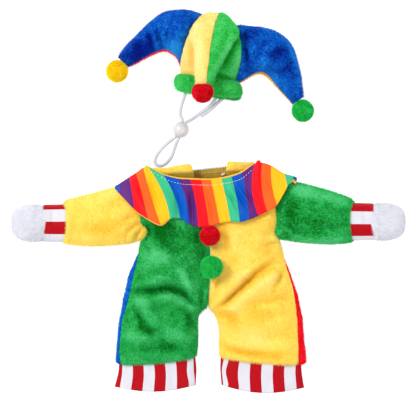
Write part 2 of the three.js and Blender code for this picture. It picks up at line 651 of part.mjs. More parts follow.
// Half of the folded front horn: a stuffed body between its seam and one edge, flat underneath.
function peak(side) {
  return loft(Array.from({ length: STEPS.peak + 1 }, (_, i) => {
    const v = i / STEPS.peak;
    const ring = Array.from({ length: PEAK_POINTS + 1 }, (_, j) => (
      domePoint(PEAK, acrossDome(side, j / PEAK_POINTS), v)));
    const [edge, seam] = [ring[0].clone(), ring[PEAK_POINTS].clone()];
    ring[0].z += PEAK_EDGE;
    ring.push(seam.setZ(edge.z), edge);
    return ring;
  }));
}

function brim() {
  return loft(Array.from({ length: STEPS.brim + 1 }, (_, i) => {
    const read = (name) => column(BRIM, name, i / STEPS.brim);
    return Array.from({ length: BRIM_POINTS }, (_, j) => {
      const angle = (j / BRIM_POINTS) * 2 * Math.PI;
      return new THREE.Vector3(
        read('x'), read('y') + read('wide') * Math.cos(angle), read('z') + read('high') * Math.sin(angle));
    });
  }));
}

// A ball that the ground flattens where its centre is less than its radius above it.
function pompom(radius, z) {
  const ball = new THREE.SphereGeometry(radius, POMPOM_ROUND, POMPOM_TALL);
  ball.rotateX(Math.PI / 2);
  const places = ball.getAttribute('position');
  for (let i = 0; i < places.count; i++) places.setZ(i, Math.max(places.getZ(i), -z));
  return ball;
}

function cord(path, steps) {
  const curve = new THREE.CatmullRomCurve3(path.map((point) => new THREE.Vector3(...point)), false, 'centripetal');
  const section = new THREE.Shape();
  for (let j = 0; j < CORD_SIDES; j++) {
    const angle = (j / CORD_SIDES) * 2 * Math.PI;
    const [x, y] = [CORD / 2 * Math.cos(angle), CORD / 2 * Math.sin(angle)];
    if (j === 0) section.moveTo(x, y);
    else section.lineTo(x, y);
  }
  section.closePath();
  return new THREE.ExtrudeGeometry(section, { steps, bevelEnabled: false, extrudePath: curve });
}

// The cord stop: a ball with a round bore along Y.
function bead() {
  const start = Math.asin(BEAD_BORE / BEAD);
  const profile = Array.from({ length: STEPS.bead + 1 }, (_, j) => {
    const angle = mix(Math.PI - start, start, j / STEPS.bead);
    return new THREE.Vector2(BEAD / 2 * Math.sin(angle), BEAD / 2 * Math.cos(angle));
  });
  profile.push(profile[0].clone());
  return new THREE.LatheGeometry(profile, BEAD_SIDES);
}

// ---------------------------------------------------------------- the scene

const costume = new THREE.Group();

function add(name, geometry, colour, roughness = PLUSH_ROUGHNESS) {
  const material = new THREE.MeshStandardMaterial({ color: colour, roughness, metalness: 0 });
  const mesh = new THREE.Mesh(geometry, material);
  mesh.name = name;
  costume.add(mesh);
  return mesh;
}

add('front_green', frontPanel('L'), COLOUR.green);
add('front_yellow', frontPanel('R'), COLOUR.yellow);
add('back_blue', backPanel('L'), COLOUR.blue);
add('back_red', backPanel('R'), COLOUR.red);
add('hem_left', hem(HEM_LEFT), COLOUR.stripe, SATIN_ROUGHNESS);
add('hem_right', hem(HEM_RIGHT), COLOUR.stripe, SATIN_ROUGHNESS);
add('sleeve_yellow', arm(SLEEVE_LEFT, STEPS.sleeve), COLOUR.yellow);
add('sleeve_green', arm(SLEEVE_RIGHT, STEPS.sleeve), COLOUR.green);
add('wrist_cuff_left', arm(CUFF_LEFT, STEPS.cuff), COLOUR.stripe, SATIN_ROUGHNESS);
add('wrist_cuff_right', arm(CUFF_RIGHT, STEPS.cuff), COLOUR.stripe, SATIN_ROUGHNESS);
add('mitt_left', mitt(CUFF_LEFT, -1), COLOUR.white);
add('mitt_right', mitt(CUFF_RIGHT, 1), COLOUR.white);
add('collar_satin', collarLayer(0, 0), COLOUR.satin, SATIN_ROUGHNESS);
add('collar_lining', collarLayer(SATIN + COLLAR_GAP, COLLAR_PROUD), COLOUR.lining);
add('tab_left', neckStrip(TAB_LEFT, 2 * PLUSH), COLOUR.yellow);
add('tab_right', neckStrip(TAB_RIGHT, 2 * PLUSH), COLOUR.yellow);
add('neck_back', neckStrip(NECK_BACK, PLUSH), COLOUR.lining);

const leftHorn = hornPieces(HORN_LEFT);
const rightHorn = hornPieces(HORN_RIGHT);
add('horn_left_front', leftHorn.front, COLOUR.blue);
add('horn_left_back', leftHorn.back, COLOUR.red);
add('horn_right_front', rightHorn.front, COLOUR.blue);
add('horn_right_back', rightHorn.back, COLOUR.yellow);
add('crown_yellow', crownFront('L'), COLOUR.yellow);
add('crown_green', crownFront('R'), COLOUR.green);
add('crown_back_red', crownBack('L'), COLOUR.red);
add('crown_back_yellow', crownBack('R'), COLOUR.yellow);
add('peak_yellow', peak('L'), COLOUR.yellow);
add('peak_green', peak('R'), COLOUR.green);
add('brim', brim(), COLOUR.green);

for (const { name, x, y, z, radius, colour } of POMPOMS) {
  add(name, pompom(radius, z), colour).position.set(x, y, z);
}

add('chin_cord', cord(CORD_PATH, STEPS.cord), COLOUR.elastic, CORD_ROUGHNESS);
add('chin_cord_tail', cord(TAIL_PATH, STEPS.tail), COLOUR.elastic, CORD_ROUGHNESS);
const stop = add('bead', bead(), COLOUR.bead, BEAD_ROUGHNESS);
stop.position.set(BEAD_AT.x, BEAD_AT.y, BEAD_AT.z);
stop.rotation.z = BEAD_LEAN;

// The reference point is the middle of the set's footprint on the ground, taken without the cord and its bead.
const onCord = ['chin_cord', 'chin_cord_tail', 'bead'];
costume.updateMatrixWorld(true);
const box = new THREE.Box3();
for (const mesh of costume.children) {
  if (!onCord.includes(mesh.name)) box.expandByObject(mesh, true);
}
const middle = box.getCenter(new THREE.Vector3());
costume.position.set(-middle.x, -middle.y, -box.min.z);

export default costume;
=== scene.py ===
import bisect
import math

import bmesh
import bpy
from bpy.props import FloatProperty, FloatVectorProperty, IntProperty, PointerProperty
from mathutils import Matrix, Quaternion, Vector, noise


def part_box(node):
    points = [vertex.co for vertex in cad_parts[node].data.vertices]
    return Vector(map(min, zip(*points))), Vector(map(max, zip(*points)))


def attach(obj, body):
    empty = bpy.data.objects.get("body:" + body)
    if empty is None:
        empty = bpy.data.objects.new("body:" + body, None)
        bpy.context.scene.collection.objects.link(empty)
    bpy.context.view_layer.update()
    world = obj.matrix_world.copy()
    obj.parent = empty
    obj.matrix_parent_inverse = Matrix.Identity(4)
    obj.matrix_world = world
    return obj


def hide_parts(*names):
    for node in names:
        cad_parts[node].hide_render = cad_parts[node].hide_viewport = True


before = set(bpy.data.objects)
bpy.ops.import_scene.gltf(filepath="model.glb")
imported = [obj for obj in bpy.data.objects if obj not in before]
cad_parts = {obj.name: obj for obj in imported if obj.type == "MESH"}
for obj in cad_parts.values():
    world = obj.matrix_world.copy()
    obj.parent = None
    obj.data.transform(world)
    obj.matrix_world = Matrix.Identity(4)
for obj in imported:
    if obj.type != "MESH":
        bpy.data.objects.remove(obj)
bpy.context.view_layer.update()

bl_info = {
    "name": "Pet clown costume",
    "version": (1, 0, 0),
    "blender": (4, 5, 0),
    "location": "3D View > Sidebar > Costume",
    "description": "Builds a plush clown suit and jester hat for a small pet, laid out flat",
    "category": "Add Mesh",
}

MM = 0.001
UP = Vector((0, 0, 1))
DOWN = Vector((0, 0, -1))

# ------------------------------------------------------------------ tables, in millimetres


class Table:
    """Rows of named columns, read smoothly at a place from 0, the first row, to 1, the last."""

    def __init__(self, names, *rows):
        self.columns = {name: [row[i] for row in rows] for i, name in enumerate(names.split())}
        self.last = len(rows) - 1

    def at(self, name, place):
        values = self.columns[name]
        spot = min(max(place, 0), 1) * self.last
        first = min(int(spot), self.last - 1)
        t = spot - first
        a, b, c, d = (values[min(max(first + step, 0), self.last)] for step in (-1, 0, 1, 2))
        squared, cubed = 2 * a - 5 * b + 4 * c - d, 3 * b - a - 3 * c + d
        return 0.5 * (2 * b + (c - a) * t + squared * t**2 + cubed * t**3)

    def point(self, name, place, z=0):
        """The point held by a pair of columns, such as topX and topY."""
        return Vector((self.at(name + "X", place), self.at(name + "Y", place), z))


# Sections of the suit from the neck to the hems. y is at the centre seam or the inner leg, tilt is what the
# side edge adds to it, bow is how far the middle hangs lower. wrap is 1 where the back turns up round the
# side, and strip is how wide it then shows.
SUIT = Table(
    "y tilt bow innerL outerL innerR outerR seamZ crestZ wrap stripL stripR leg",
    (15, 12, 0, 0, -61, 0, 54, 20, 23, 0, 0, 0, 0),
    (5, 12, 0, 0, -70, 0, 69, 20, 24, 0, 0, 0, 0),
    (-10, 7, 0, 1, -71, 1, 71, 21, 25.5, 0, 0, 0, 0),
    (-26, 4, 0, 1, -71, 1, 72, 23, 27, 0, 0, 0, 0),
    (-42, 3, 0, 2, -70, 2, 74, 23, 27, 0.3, 0, 0, 0),
    (-57, 3, 0, 3, -72, 3, 78.6, 23, 27, 1, 0, 0, 0),
    (-70, 2, 0, 3, -76.8, 3, 82.4, 23, 27, 1, 2.2, 0.7, 0),
    (-83, 1, 0, 3, -82.6, 3, 87.6, 22, 27, 1, 4.4, 1.6, 0),
    (-97, 0, 0, 2, -85.8, 2, 92.8, 20, 27, 1, 4.8, 2.4, 0),
    (-113.6, -1, 0, 0.2, -89.4, 0.8, 96.8, 15, 27, 1, 3.8, 3.8, 0.15),
    (-119, -4, 0, -5, -91.4, 4.4, 98.4, 10, 26, 1, 3.2, 4.6, 0.7),
    (-125.4, -5, 0, -9.6, -92.6, 8.8, 99.8, 9, 26, 1, 2.4, 5.2, 1),
    (-140, -5, 1, -10, -94, 12, 101, 8, 25, 1, 2.4, 6, 1),
    (-154, -5, 2, -10, -95, 12, 103, 8, 23, 1, 2, 7.2, 1),
    (-168, -8, 3, -11, -96, 12, 104, 8, 19, 1, 4, 8.4, 1),
)
SUIT_LENGTH = 183
# The radius with which the back turns up round the side and the inner leg, and the least share of it.
SIDE_ROLL = 9
LEG_ROLL = 8
LEAST_ROLL = 0.02
# The back stays this far inside the outline, for its pile: a share of
# LEG_ROLL, and millimetres at the side.
LEG_TUCK = 0.8
SIDE_TUCK = 1.6
# How far from the centre seam the front reaches its crest, and how steeply it falls to the side.
SEAM_REACH = 16
SIDE_SLOPE = 0.58
# The front's side is at least this high where no back turns up, and rounds off over this width.
SHOULDER_HIGH = 15
EDGE_ROUND = 7
# How much of the way the front's columns are moved towards its edges.
EASED = 0.6
# The armhole's middle and half its length, the sleeve's height there, and how far below it the front stays.
ARMHOLE_Y = -14.5
ARMHOLE_HALF = 32.5
ARMHOLE_HIGH = 26
ARMHOLE_CLEAR = 2.5
# The left front's edge is pushed in under the sleeve: how far, at which y, and along what length.
PUSHED_IN, PUSHED_AT, PUSHED_LONG = 7.5, -38.5, 6
# A leg's corners at the hem are rounded: how far up, how far in, and from how far above the hem.
CORNER_UP, CORNER_IN, CORNER_FROM = 3.5, 6, 12
# How far the front falls to the hem's seam, and over what length.
HEM_FALL, HEM_FALL_FROM = 5, 6

HEM_LEFT = Table(
    "innerX innerY outerX outerY bow height",
    (-13, -164.8, -93, -171.8, 3, 16),
    (-11.6, -182, -94.2, -185, 4, 15),
    (-12.6, -198, -98, -199.5, 5.7, 14),
)
HEM_RIGHT = Table(
    "innerX innerY outerX outerY bow height",
    (13.8, -164.8, 99, -171.8, 3, 16),
    (13.4, -182, 99.4, -185, 4.2, 15),
    (14.8, -198, 102, -200.5, 6.6, 14),
)
SLEEVE_LEFT = Table(
    "topX topY lowX lowY height",
    (-60, 8, -60, -40, 15),
    (-66, 14, -66, -44, 21.5),
    (-72.5, 18, -73, -45.6, 26),
    (-81, 16, -81, -48.2, 28),
    (-99, 10, -100, -50.2, 31),
    (-118, 4.5, -121, -51, 32),
    (-136, 0, -138, -50, 31),
    (-147, -3, -149, -48.5, 30),
    (-152, -6, -153, -47.5, 28),
)
SLEEVE_RIGHT = Table(
    "topX topY lowX lowY height",
    (61, 8, 64, -38, 15),
    (67, 14, 70, -42, 21.5),
    (73.5, 18, 77.5, -44, 26),
    (81, 17, 84.5, -45.2, 28),
    (98, 14.6, 102, -47.4, 31),
    (117, 9.8, 120, -48.8, 32),
    (135, 4.4, 138, -48.4, 31),
    (148, -0.4, 149, -47.2, 30),
    (154, -3.6, 154, -46, 28),
)
CUFF_LEFT = Table(
    "topX topY lowX lowY height",
    (-145, -7.2, -145, -47.3, 27.5),
    (-163, -7.6, -163, -47.2, 27),
    (-172.4, -7.8, -172.4, -46.6, 28),
)
CUFF_RIGHT = Table(
    "topX topY lowX lowY height",
    (146, -5.5, 146, -45.6, 27.5),
    (164, -6, 164, -45.4, 27),
    (173.8, -6.2, 173.8, -45.2, 28),
)
# A mitt's length, and the power that makes its end blunt.
MITT_LENGTH = 33.4
MITT_BLUNT = 0.64
# The stitched ring of a mitt: how far past the cuff, how deep as a share, and its half-width.
MITT_RING_AT, MITT_RING_DEEP, MITT_RING_WIDE = 6.5, 0.045, 1.1

# The collar, a row for each border between two stripes, from its left tip to its right. Its upper edge is a
# fold along each shoulder and the neckline between them.
COLLAR = Table(
    "neckX neckY neckZ edgeX edgeY edgeZ bend",
    (-97, 12, 24, -97, 10, 24, 0),
    (-92.3, 14.5, 26, -92.3, 4, 28, 0),
    (-82.3, 21, 29, -77, -12, 33, 0.5),
    (-75, 25.6, 30, -62.2, -22.8, 34, 0.5),
    (-67.3, 31, 31, -49, -28.4, 35, -1),
    (-62.2, 31.6, 31.5, -39.4, -22.8, 34, 4),
    (-46.1, 23.4, 31, -29, -22, 31.5, 3.2),
    (-30.8, 19.4, 31, -19.1, -28.1, 33.5, 2.8),
    (-18.7, 18.6, 31, -10, -31, 35.5, 2),
    (-6.6, 18.1, 31, 1.8, -30.8, 34.5, 0.5),
    (3.5, 18.1, 31, 12.8, -27.1, 33, 0),
    (14.2, 19.4, 31, 23.8, -25.4, 33, 0.5),
    (24.9, 21.6, 31, 33.6, -26, 34.5, 1.4),
    (35.6, 25.6, 31, 43.4, -23.4, 34.5, 1),
    (48.9, 34.5, 31, 53, -19.4, 34, -4.8),
    (57.2, 36, 31, 62.4, -14.7, 34, -3.4),
    (66.7, 33.2, 30, 72.5, -8, 34, -2.4),
    (80.5, 25, 28, 83.2, 10.7, 31, 0),
    (90.6, 22.2, 26, 89.4, 19.6, 27, 0),
    (94, 20.4, 25, 93.4, 17, 24.5, 0),
)
# The first and last rows between which the collar's upper edge is the neckline.
NECKLINE = 4, 14.2
# The millimetres of neckline for each row, which its gathers are spaced by, and where they are strongest.
NECK_STRIPE = 6.7
GATHERS_OUT, GATHERS_WIDE = 9, 6
# The neckline's right end is pinched: at which row, its half-width in rows, and how far it is drawn.
PINCH_ROW, PINCH_WIDE, PINCHED = 14.45, 0.3, Vector((0.5, 2.8, 2.2))
# Next to it the satin sags: at which row, its half-width in rows, and how deep and how long.
SAG_ROW, SAG_WIDE, SAG_DEEP, SAG_LONG = 15, 0.16, 1.4, 8
# The neckline's left end dips: at which row, its half-width in rows,
# and how far the satin and the lining do.
DIP_ROW, DIP_WIDE, SATIN_DIP, LINING_DIP = 4.46, 0.24, 1.9, 3.4
# Over the shoulders the upper edge is rolled down: how far, and over what width.
ROLLED_DOWN, ROLLED_WIDE = 3, 4
# The topstitched channel along the neckline: how far out, how deep, and its half-width.
CHANNEL_OUT, CHANNEL_DEEP, CHANNEL_WIDE = 5.5, 0.6, 1.2
# The lining's creases are this much deeper than the satin's, which keeps it clear of them.
LINING_FOLDS = 1.22
TAB_LEFT = Table(
    "topX topY lowX lowY z",
    (-59, 31, -56, 19, 19),
    (-45, 30.5, -43, 17, 20),
    (-32, 33, -30, 16.5, 21),
    (-16.5, 35, -13, 16.5, 21),
)
TAB_RIGHT = Table(
    "topX topY lowX lowY z",
    (20.6, 37.5, 19.4, 16.5, 21),
    (32, 36.5, 30, 17, 21),
    (41, 36.5, 39, 19, 20),
    (49, 37.5, 50, 27, 19),
)
NECK_BACK = Table(
    "topX topY lowX lowY z",
    (-20, 27.5, -19, 10, 8),
    (2, 30, 2, 10, 7),
    (26, 32.5, 25, 10, 8),
)

HORN_LEFT = Table(
    "topX topY lowX lowY height show",
    (0, 188, -21, 131, 18, 0.2),
    (-7, 192.6, -27.5, 136.5, 25, 0.2),
    (-19, 196.2, -30.8, 145, 31, 0.4),
    (-33, 196.4, -36.8, 151, 33, 0.9),
    (-47, 193.4, -45, 154.2, 33, 1.1),
    (-60.5, 183.5, -55, 151.6, 30, 1),
    (-73.5, 171, -66, 146.2, 25, 0.6),
    (-84.5, 160.5, -75.5, 141.2, 20, 0.4),
    (-91.5, 152, -81.5, 138.2, 16, 0.3),
    (-93.8, 147, -83.2, 137.2, 13, 0.3),
)
HORN_RIGHT = Table(
    "topX topY lowX lowY height show",
    (22, 174, 18, 119, 18, 0.2),
    (31.7, 180.4, 31, 119.6, 25, 0.3),
    (43.8, 179.4, 42, 125.4, 31, 0.5),
    (57, 178, 51, 129.9, 33, 1),
    (71, 174.3, 58, 129.9, 32, 1.3),
    (82.5, 166.5, 64, 126, 29, 1.2),
    (90, 156.5, 69.5, 119.8, 26, 0.9),
    (94.5, 142.5, 76, 112.7, 23, 0.6),
    (98, 128, 82, 106.2, 20, 0.4),
    (99.8, 115, 86.8, 101.2, 16, 0.3),
    (100.8, 105.5, 90, 98, 13, 0.3),
)
# The crown and the front horn that is folded over it: left edge, seam and right edge.
CROWN = Table(
    "leftX leftY seamX seamY rightX rightY edgeZ crestZ",
    (-3, 189, 11.5, 191.5, 20, 188, 9.5, 9.5),
    (-11.5, 180, 8, 181, 29.6, 178, 24, 29),
    (-20.8, 167.5, 5, 167, 34.4, 164, 33, 40),
    (-25.7, 152.5, 2.8, 152, 35.2, 150, 33, 41),
    (-28.2, 141, 1.2, 139, 33.6, 136.5, 26, 39),
    (-28.6, 129.4, 0, 123.5, 27, 118, 18, 34),
)
CROWN_ROLL = 9
PEAK = Table(
    "leftX leftY seamX seamY rightX rightY edgeZ crestZ",
    (4, 193.2, 12, 194.6, 15, 192.8, 10, 10.5),
    (-3, 191, 11.4, 193, 20.4, 190, 15, 17),
    (-9.6, 186.8, 10.2, 188.8, 25.6, 185.4, 23, 27),
    (-14.6, 180.6, 8.2, 182.4, 30.2, 179, 31, 37),
    (-17.8, 173.8, 6.4, 175.4, 32.8, 173, 36, 44),
    (-18.4, 167, 5, 167.6, 31, 167, 40, 49),
    (-14.4, 159.6, 3.6, 159, 25.6, 159, 43.5, 53),
    (-12.9, 150, 2.4, 149, 20, 149, 45, 56),
    (-12.6, 139, 1.2, 138.5, 14, 138, 45.5, 57),
    (-12.5, 128.6, -0.2, 128.1, 8.4, 127.6, 45, 56),
    (-12.2, 117.2, -0.9, 116.8, 6, 116.9, 43, 53),
)
BRIM = Table(
    "x y z wide high",
    (-35, 121, 13, 3, 3),
    (-31, 120.5, 16, 8, 7.5),
    (-20, 119, 24, 9.8, 9),
    (0, 116, 30, 10, 9),
    (18, 113.4, 26, 10.8, 9),
    (31, 111.9, 17, 9.8, 8),
    (36.6, 110.9, 13, 3.5, 3.5),
)

# The elastic's route: from under the brim's left, through the bead, round its loop and back to the brim.
CORD_PATH = (
    (-22.4, 113, 13), (-23.2, 109.6, 11), (-24.9, 104.6, 6.5), (-26.7, 99.6, 3), (-28.2, 94.4, 1.8),
    (-29.1, 88.8, 2.2), (-28.2, 84.6, 5), (-26.6, 81.6, 8), (-26.4, 79.2, 8.8), (-29.7, 71.8, 8.8),
    (-33, 64.4, 8.8), (-36.6, 61.6, 7.2), (-41.6, 57.8, 3.4), (-46.8, 53, 1.8), (-51.8, 47.2, 1.6),
    (-55.2, 41, 1.6), (-55.4, 36.4, 1.6), (-51.4, 33.4, 1.6), (-46, 34.6, 1.6), (-41.8, 38.2, 1.6),
    (-38, 43.4, 1.6), (-35.2, 50.6, 2.4), (-32.8, 57, 5.6), (-30.8, 61.2, 8.2), (-30, 63.1, 8.8),
    (-26.7, 70.5, 8.8), (-23.4, 78, 8.8), (-20.2, 80, 7.6), (-16.4, 82.2, 4.8), (-12, 85.4, 2.2),
    (-6.6, 89.6, 1.8), (-0.4, 94, 2.2), (4.4, 98.4, 4.8), (7.8, 102.8, 8.6), (9.6, 108, 13),
)
# The second strand of its right end, from where the two part to under the brim.
TAIL_PATH = (
    (-7.2, 85.1, 1.8), (-4.4, 87.1, 1.8), (1.4, 91, 1.9), (6.4, 95.3, 3.2), (10.4, 99.2, 5.6),
    (14.4, 102.8, 8.8), (18.2, 107, 12.4),
)
BEAD_AT = Vector((-28.2, 71.2, 8.8))
BEAD_LEAN = math.radians(-24)

# The stop squeezes the elastic to this share of its thickness, as far as this from its middle.
SQUEEZED = 0.84
STOP_REACH = 11

# The gap between two panels at a seam, how far from a panel's edge its creases have their whole depth, and
# how far above a stuffed piece's middle.
SEAM = 0.3
FOLD_CLEAR = 7
FOLD_RISE = 5
# How far in from a hem's inner edge its seam is.
HEM_SEAM_IN = 1.1
# How far in radians a hem's stripes wander at its outer edge.
BUCKLE = 0.05

# How uneven the cloth of each piece is, in layers: millimetres from hump to hump, height and seed.
FRONT_LUMPS = (26, 1.6, 1.0), (9, 0.7, 2.0)
BACK_LUMPS = ((14, 1.0, 15.0),)
HEM_WAVES = ((11, 1.5, 3.0),)
HEM_LUMPS = ((5, 0.3, 4.0),)
ARM_LUMPS = (20, 1.3, 5.0), (8, 0.6, 6.0)
MITT_LUMPS = ((12, 0.9, 7.0),)
COLLAR_GATHERS = ((3.2, 1.7, 8.0),)
COLLAR_LUMPS = ((16, 1.3, 9.0),)
TAB_LUMPS = ((8, 0.6, 14.0),)
HORN_LUMPS = (18, 1.4, 10.0), (7, 0.4, 11.0)
CROWN_LUMPS = (14, 1.2, 12.0), (7, 0.5, 16.0)
PEAK_LUMPS = (12, 1.3, 13.0), (6, 0.5, 17.0)

# Painted shade: where it is painted, a dye's colour is raised to the power of 1 and the first of these,
# and for a dark dye the second as well. Painted light: where it is painted, the power is the third
# for a white dye and the fourth for a dark one.
DEEPENING = 0.55
DARK_DEEPENING = 0.5
PALEST = 0.7
DARK_PALEST = 0.55
# The nap's mottling, in layers: millimetres across and strength. A white dye shows this share of it.
MOTTLES = (20.0, 1.0), (7.0, 0.65), (2.2, 1.5)
PALE_MOTTLE = 0.3
# How much light the painted shade of a dark dye keeps back.
PAINTED_SHADE_DIMMING = 0.24
# How much less light the darkest fibres of a white dye and of a black one give back.
TONES = 0.04, 0.2
# The light that is left at the fibres' roots and between the tufts of the ground.
ROOT_LIGHT = 0.82
# How much painted shade is laid for each millimetre of a crease's depth, and for a shade stroke of 1.
PAINTED_SHADE_BY_DEPTH = 0.075
SHADE_BY_STROKE = 1.35
# The height above the ground from which there is pile.
PILE_FROM_Z = 1.6
# How the fibres lean together in locks: millimetres across and strength.
LOCKS = (7.0, 1.6), (2.2, 1.5), (0.5, 0.9)

# The bead's place in the frame ties the tables to it.
SHIFT = sum(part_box("bead"), Vector()) / 2 / MM - BEAD_AT


class Fold:
    """A crease in the cloth seen from above: a bent line, its depth, and its half-width to the left of the
    line and to the right. A ridge has a depth below 0."""

    STEPS = 10
    # How many half-widths from the line the crease ends.
    SPREAD = 3.4
    # The share of the depth that is left at the line's ends, and of it that the cloth rises on both sides.
    ENDS = 0.35
    RISE = 0.3

    def __init__(self, start, bend, end, width, depth, right=None):
        self.widths = width, right or width
        self.depth = depth
        pull = [2 * b - (a + c) / 2 for a, b, c in zip(start, bend, end)]
        self.line = []
        for i in range(self.STEPS + 1):
            t = i / self.STEPS
            self.line.append(
                [a * (1 - t) ** 2 + b * 2 * t * (1 - t) + c * t**2 for a, b, c in zip(start, pull, end)]
            )
        self.reach = self.SPREAD * max(self.widths)
        self.low, self.high = ([pick(p[axis] for p in self.line) for axis in (0, 1)] for pick in (min, max))

    def fall(self, x, y):
        for value, low, high in zip((x, y), self.low, self.high):
            if not low - self.reach < value < high + self.reach:
                return 0
        nearest, along, left = math.inf, 0, True
        for i, ((ax, ay), (bx, by)) in enumerate(zip(self.line, self.line[1:])):
            dx, dy = bx - ax, by - ay
            t = min(max(((x - ax) * dx + (y - ay) * dy) / (dx * dx + dy * dy), 0), 1)
            away = math.hypot(x - ax - t * dx, y - ay - t * dy)
            if away < nearest:
                nearest, along = away, (i + t) / self.STEPS
                left = dx * (y - ay) > dy * (x - ax)
        share = nearest / self.widths[0 if left else 1]
        taper = self.ENDS + (1 - self.ENDS) * math.sin(math.pi * along)
        return self.depth * taper * (bell(share, 0, 1) - self.RISE * bell(share, 2, 1))


def fall(folds, x, y):
    return sum(fold.fall(x, y) for fold in folds)


# Creases: start, a point on the bend, end, half-width on the left, depth, half-width on the right.
GREEN_FOLDS = (
    Fold((-84, -98), (-60, -97.5), (-38, -96), 4, 6.5, 5.5),
    Fold((-46, -95.5), (-29, -99.5), (-14, -111), 5, 7, 3.8),
    Fold((-76, -108), (-50, -102.6), (-31, -107.6), 3.6, -3.4, 6),
    Fold((-34, -106), (-20, -113), (-6, -119), 3, -3, 4.5),
    Fold((-66, -92), (-48, -84), (-28, -78), 6, -2.6, 6),
    Fold((-27, -77), (-19.5, -92), (-15, -107), 3.6, -2.6, 3),
    Fold((-6, -98), (-5.8, -106), (-7.4, -115), 2.2, 3.2, 2.6),
    Fold((-79, -110), (-71.5, -124), (-68, -137), 5, 3.6, 3.6),
    Fold((-69, -136), (-60, -139.4), (-48, -140), 4, 3.2, 5),
    Fold((-24, -117), (-19, -126), (-15.6, -137), 3, 3.6, 4.6),
    Fold((-58, -40), (-44, -52), (-34, -64), 7, 2.4, 9),
    Fold((-66, -62), (-50, -58), (-30, -60), 8, -1.8, 8),
    Fold((-84, -150), (-66, -157), (-38, -155), 6, 2.2, 6),
    Fold((-66, -28), (-61, -34), (-64, -44), 2.2, 3.2, 3),
    Fold((-68, -50), (-63, -53), (-60, -60), 2.6, 1.8, 2.6),
)
YELLOW_FOLDS = (
    Fold((8, -117), (23, -105.6), (42, -87), 2.8, 6.5, 5.6),
    Fold((38, -91), (52, -78.6), (68, -67.6), 3.2, 5.5, 5.6),
    Fold((13, -98), (32, -84), (46, -70), 6, -3, 5),
    Fold((30, -110), (48, -98), (70, -82), 5, -2.4, 7),
    Fold((10.5, -86), (10.2, -93), (9.5, -100), 2.6, 3, 2.6),
    Fold((60, -50), (68, -48.2), (76, -47), 2.6, 2.8, 2.6),
    Fold((79, -77), (75, -86), (70, -96), 3.4, 4, 3.4),
    Fold((90, -103.5), (69, -107.6), (46, -113), 4, 2.8, 5),
    Fold((8.5, -123.6), (20, -121.4), (32, -126), 2.8, 3.6, 4),
    Fold((15, -153), (31, -161), (54, -165.4), 3, 3.4, 4),
    Fold((90, -138), (74, -145), (50, -143), 6, 2.2, 6),
    Fold((16, -34), (21, -42), (19, -56), 4, 2.4, 4),
    Fold((44, -26), (52, -44), (50, -62), 7, -1.6, 7),
)
LEFT_HORN_FOLDS = (
    Fold((-63, 173), (-59.5, 165), (-56, 155), 2.6, 3.6, 3.6),
    Fold((-53, 172), (-49.5, 166), (-46, 158.6), 2.4, 3, 3),
    Fold((-42, 174), (-42.5, 166), (-39.5, 157), 2.6, 2.2, 2.6),
    Fold((-58, 177), (-55, 168), (-51.5, 158), 2, -2, 2),
    Fold((-75, 167), (-70, 158), (-64.5, 151), 4, 2.6, 5),
    Fold((-22, 190), (-26, 176), (-33, 160), 6, -2, 7),
)
RIGHT_HORN_FOLDS = (
    Fold((40.5, 171), (41.5, 148), (43.6, 130), 2.6, 4.5, 4.5),
    Fold((36, 168), (37, 148), (37, 130), 2, -1.6, 2),
    Fold((64, 142), (71, 150), (82, 154), 4, 2.2, 5),
    Fold((50, 150), (56, 160), (68, 167), 5, 2, 5),
    Fold((74, 128), (80, 133), (90, 136), 3.5, 2, 4),
    Fold((56, 134), (62, 141), (70, 141), 5, -1.8, 5),
)
# Painted shadow on the crown beside the front horn and above the brim, and painted light on the
# front horn's own edges; the brim has a painted highlight above its seam and painted shade below it.
CROWN_SHADE_STROKES = (
    Fold((32, 166), (23, 152), (13, 128), 5, 0.4),
    Fold((34, 152), (33, 140), (29, 128), 5, -0.2),
    Fold((-17, 162), (-17, 146), (-16, 130), 3.5, 0.25),
    Fold((6, 128), (16, 125.4), (27, 122.6), 2.6, 0.75),
    Fold((-28, 133), (-22, 131), (-14, 130), 1.6, 0.4),
)
BRIM_SHADE_STROKES = (
    Fold((9, 106.6), (20, 104.8), (34, 106), 1.2, -0.4),
    Fold((9, 104.4), (20, 102.6), (34, 103.4), 1.2, 0.4),
    Fold((10, 118), (16, 112), (17, 108), 4, 0.15),
)
PEAK_SHADE_STROKES = (
    Fold((27, 165), (17.5, 148), (6, 124), 4, -0.3),
    Fold((-12, 178), (-9.5, 156), (-9, 124), 5, -0.2),
    Fold((4, 186), (0, 160), (-3, 130), 4, 0.1),
)
# Shade strokes: patches painted deeper in the plush's colour, or lighter where the amount is below 0;
# partly where its pile has been stroked, partly painted shade and painted light.
GREEN_SHADE_STROKES = (
    Fold((-59, -62), (-50, -62), (-41, -65), 8, -0.3),
    Fold((-31, -75), (-25, -84), (-19, -94), 5, -0.25),
    Fold((-76, -106), (-68, -116), (-58, -126), 7, -0.3),
    Fold((-87, -141), (-82, -147), (-75, -152), 6, -0.25),
    Fold((-42, -143), (-35, -147), (-27, -153), 8, -0.25),
    Fold((-56, -32), (-46, -40), (-35, -51), 11, 0.3),
    Fold((-16, -37), (-9, -48), (-3, -59), 8, 0.25),
    Fold((-58, -26), (-40, -33), (-10, -38), 7, 0.4),
    Fold((-40, -44), (-26, -52), (-12, -54), 9, 0.25),
    Fold((-71, -128), (-65, -137), (-58, -145), 6, 0.25),
    Fold((-47, -153), (-33, -157), (-19, -159), 7, 0.25),
    Fold((-77, -84), (-71, -87), (-64, -89), 6, 0.2),
)
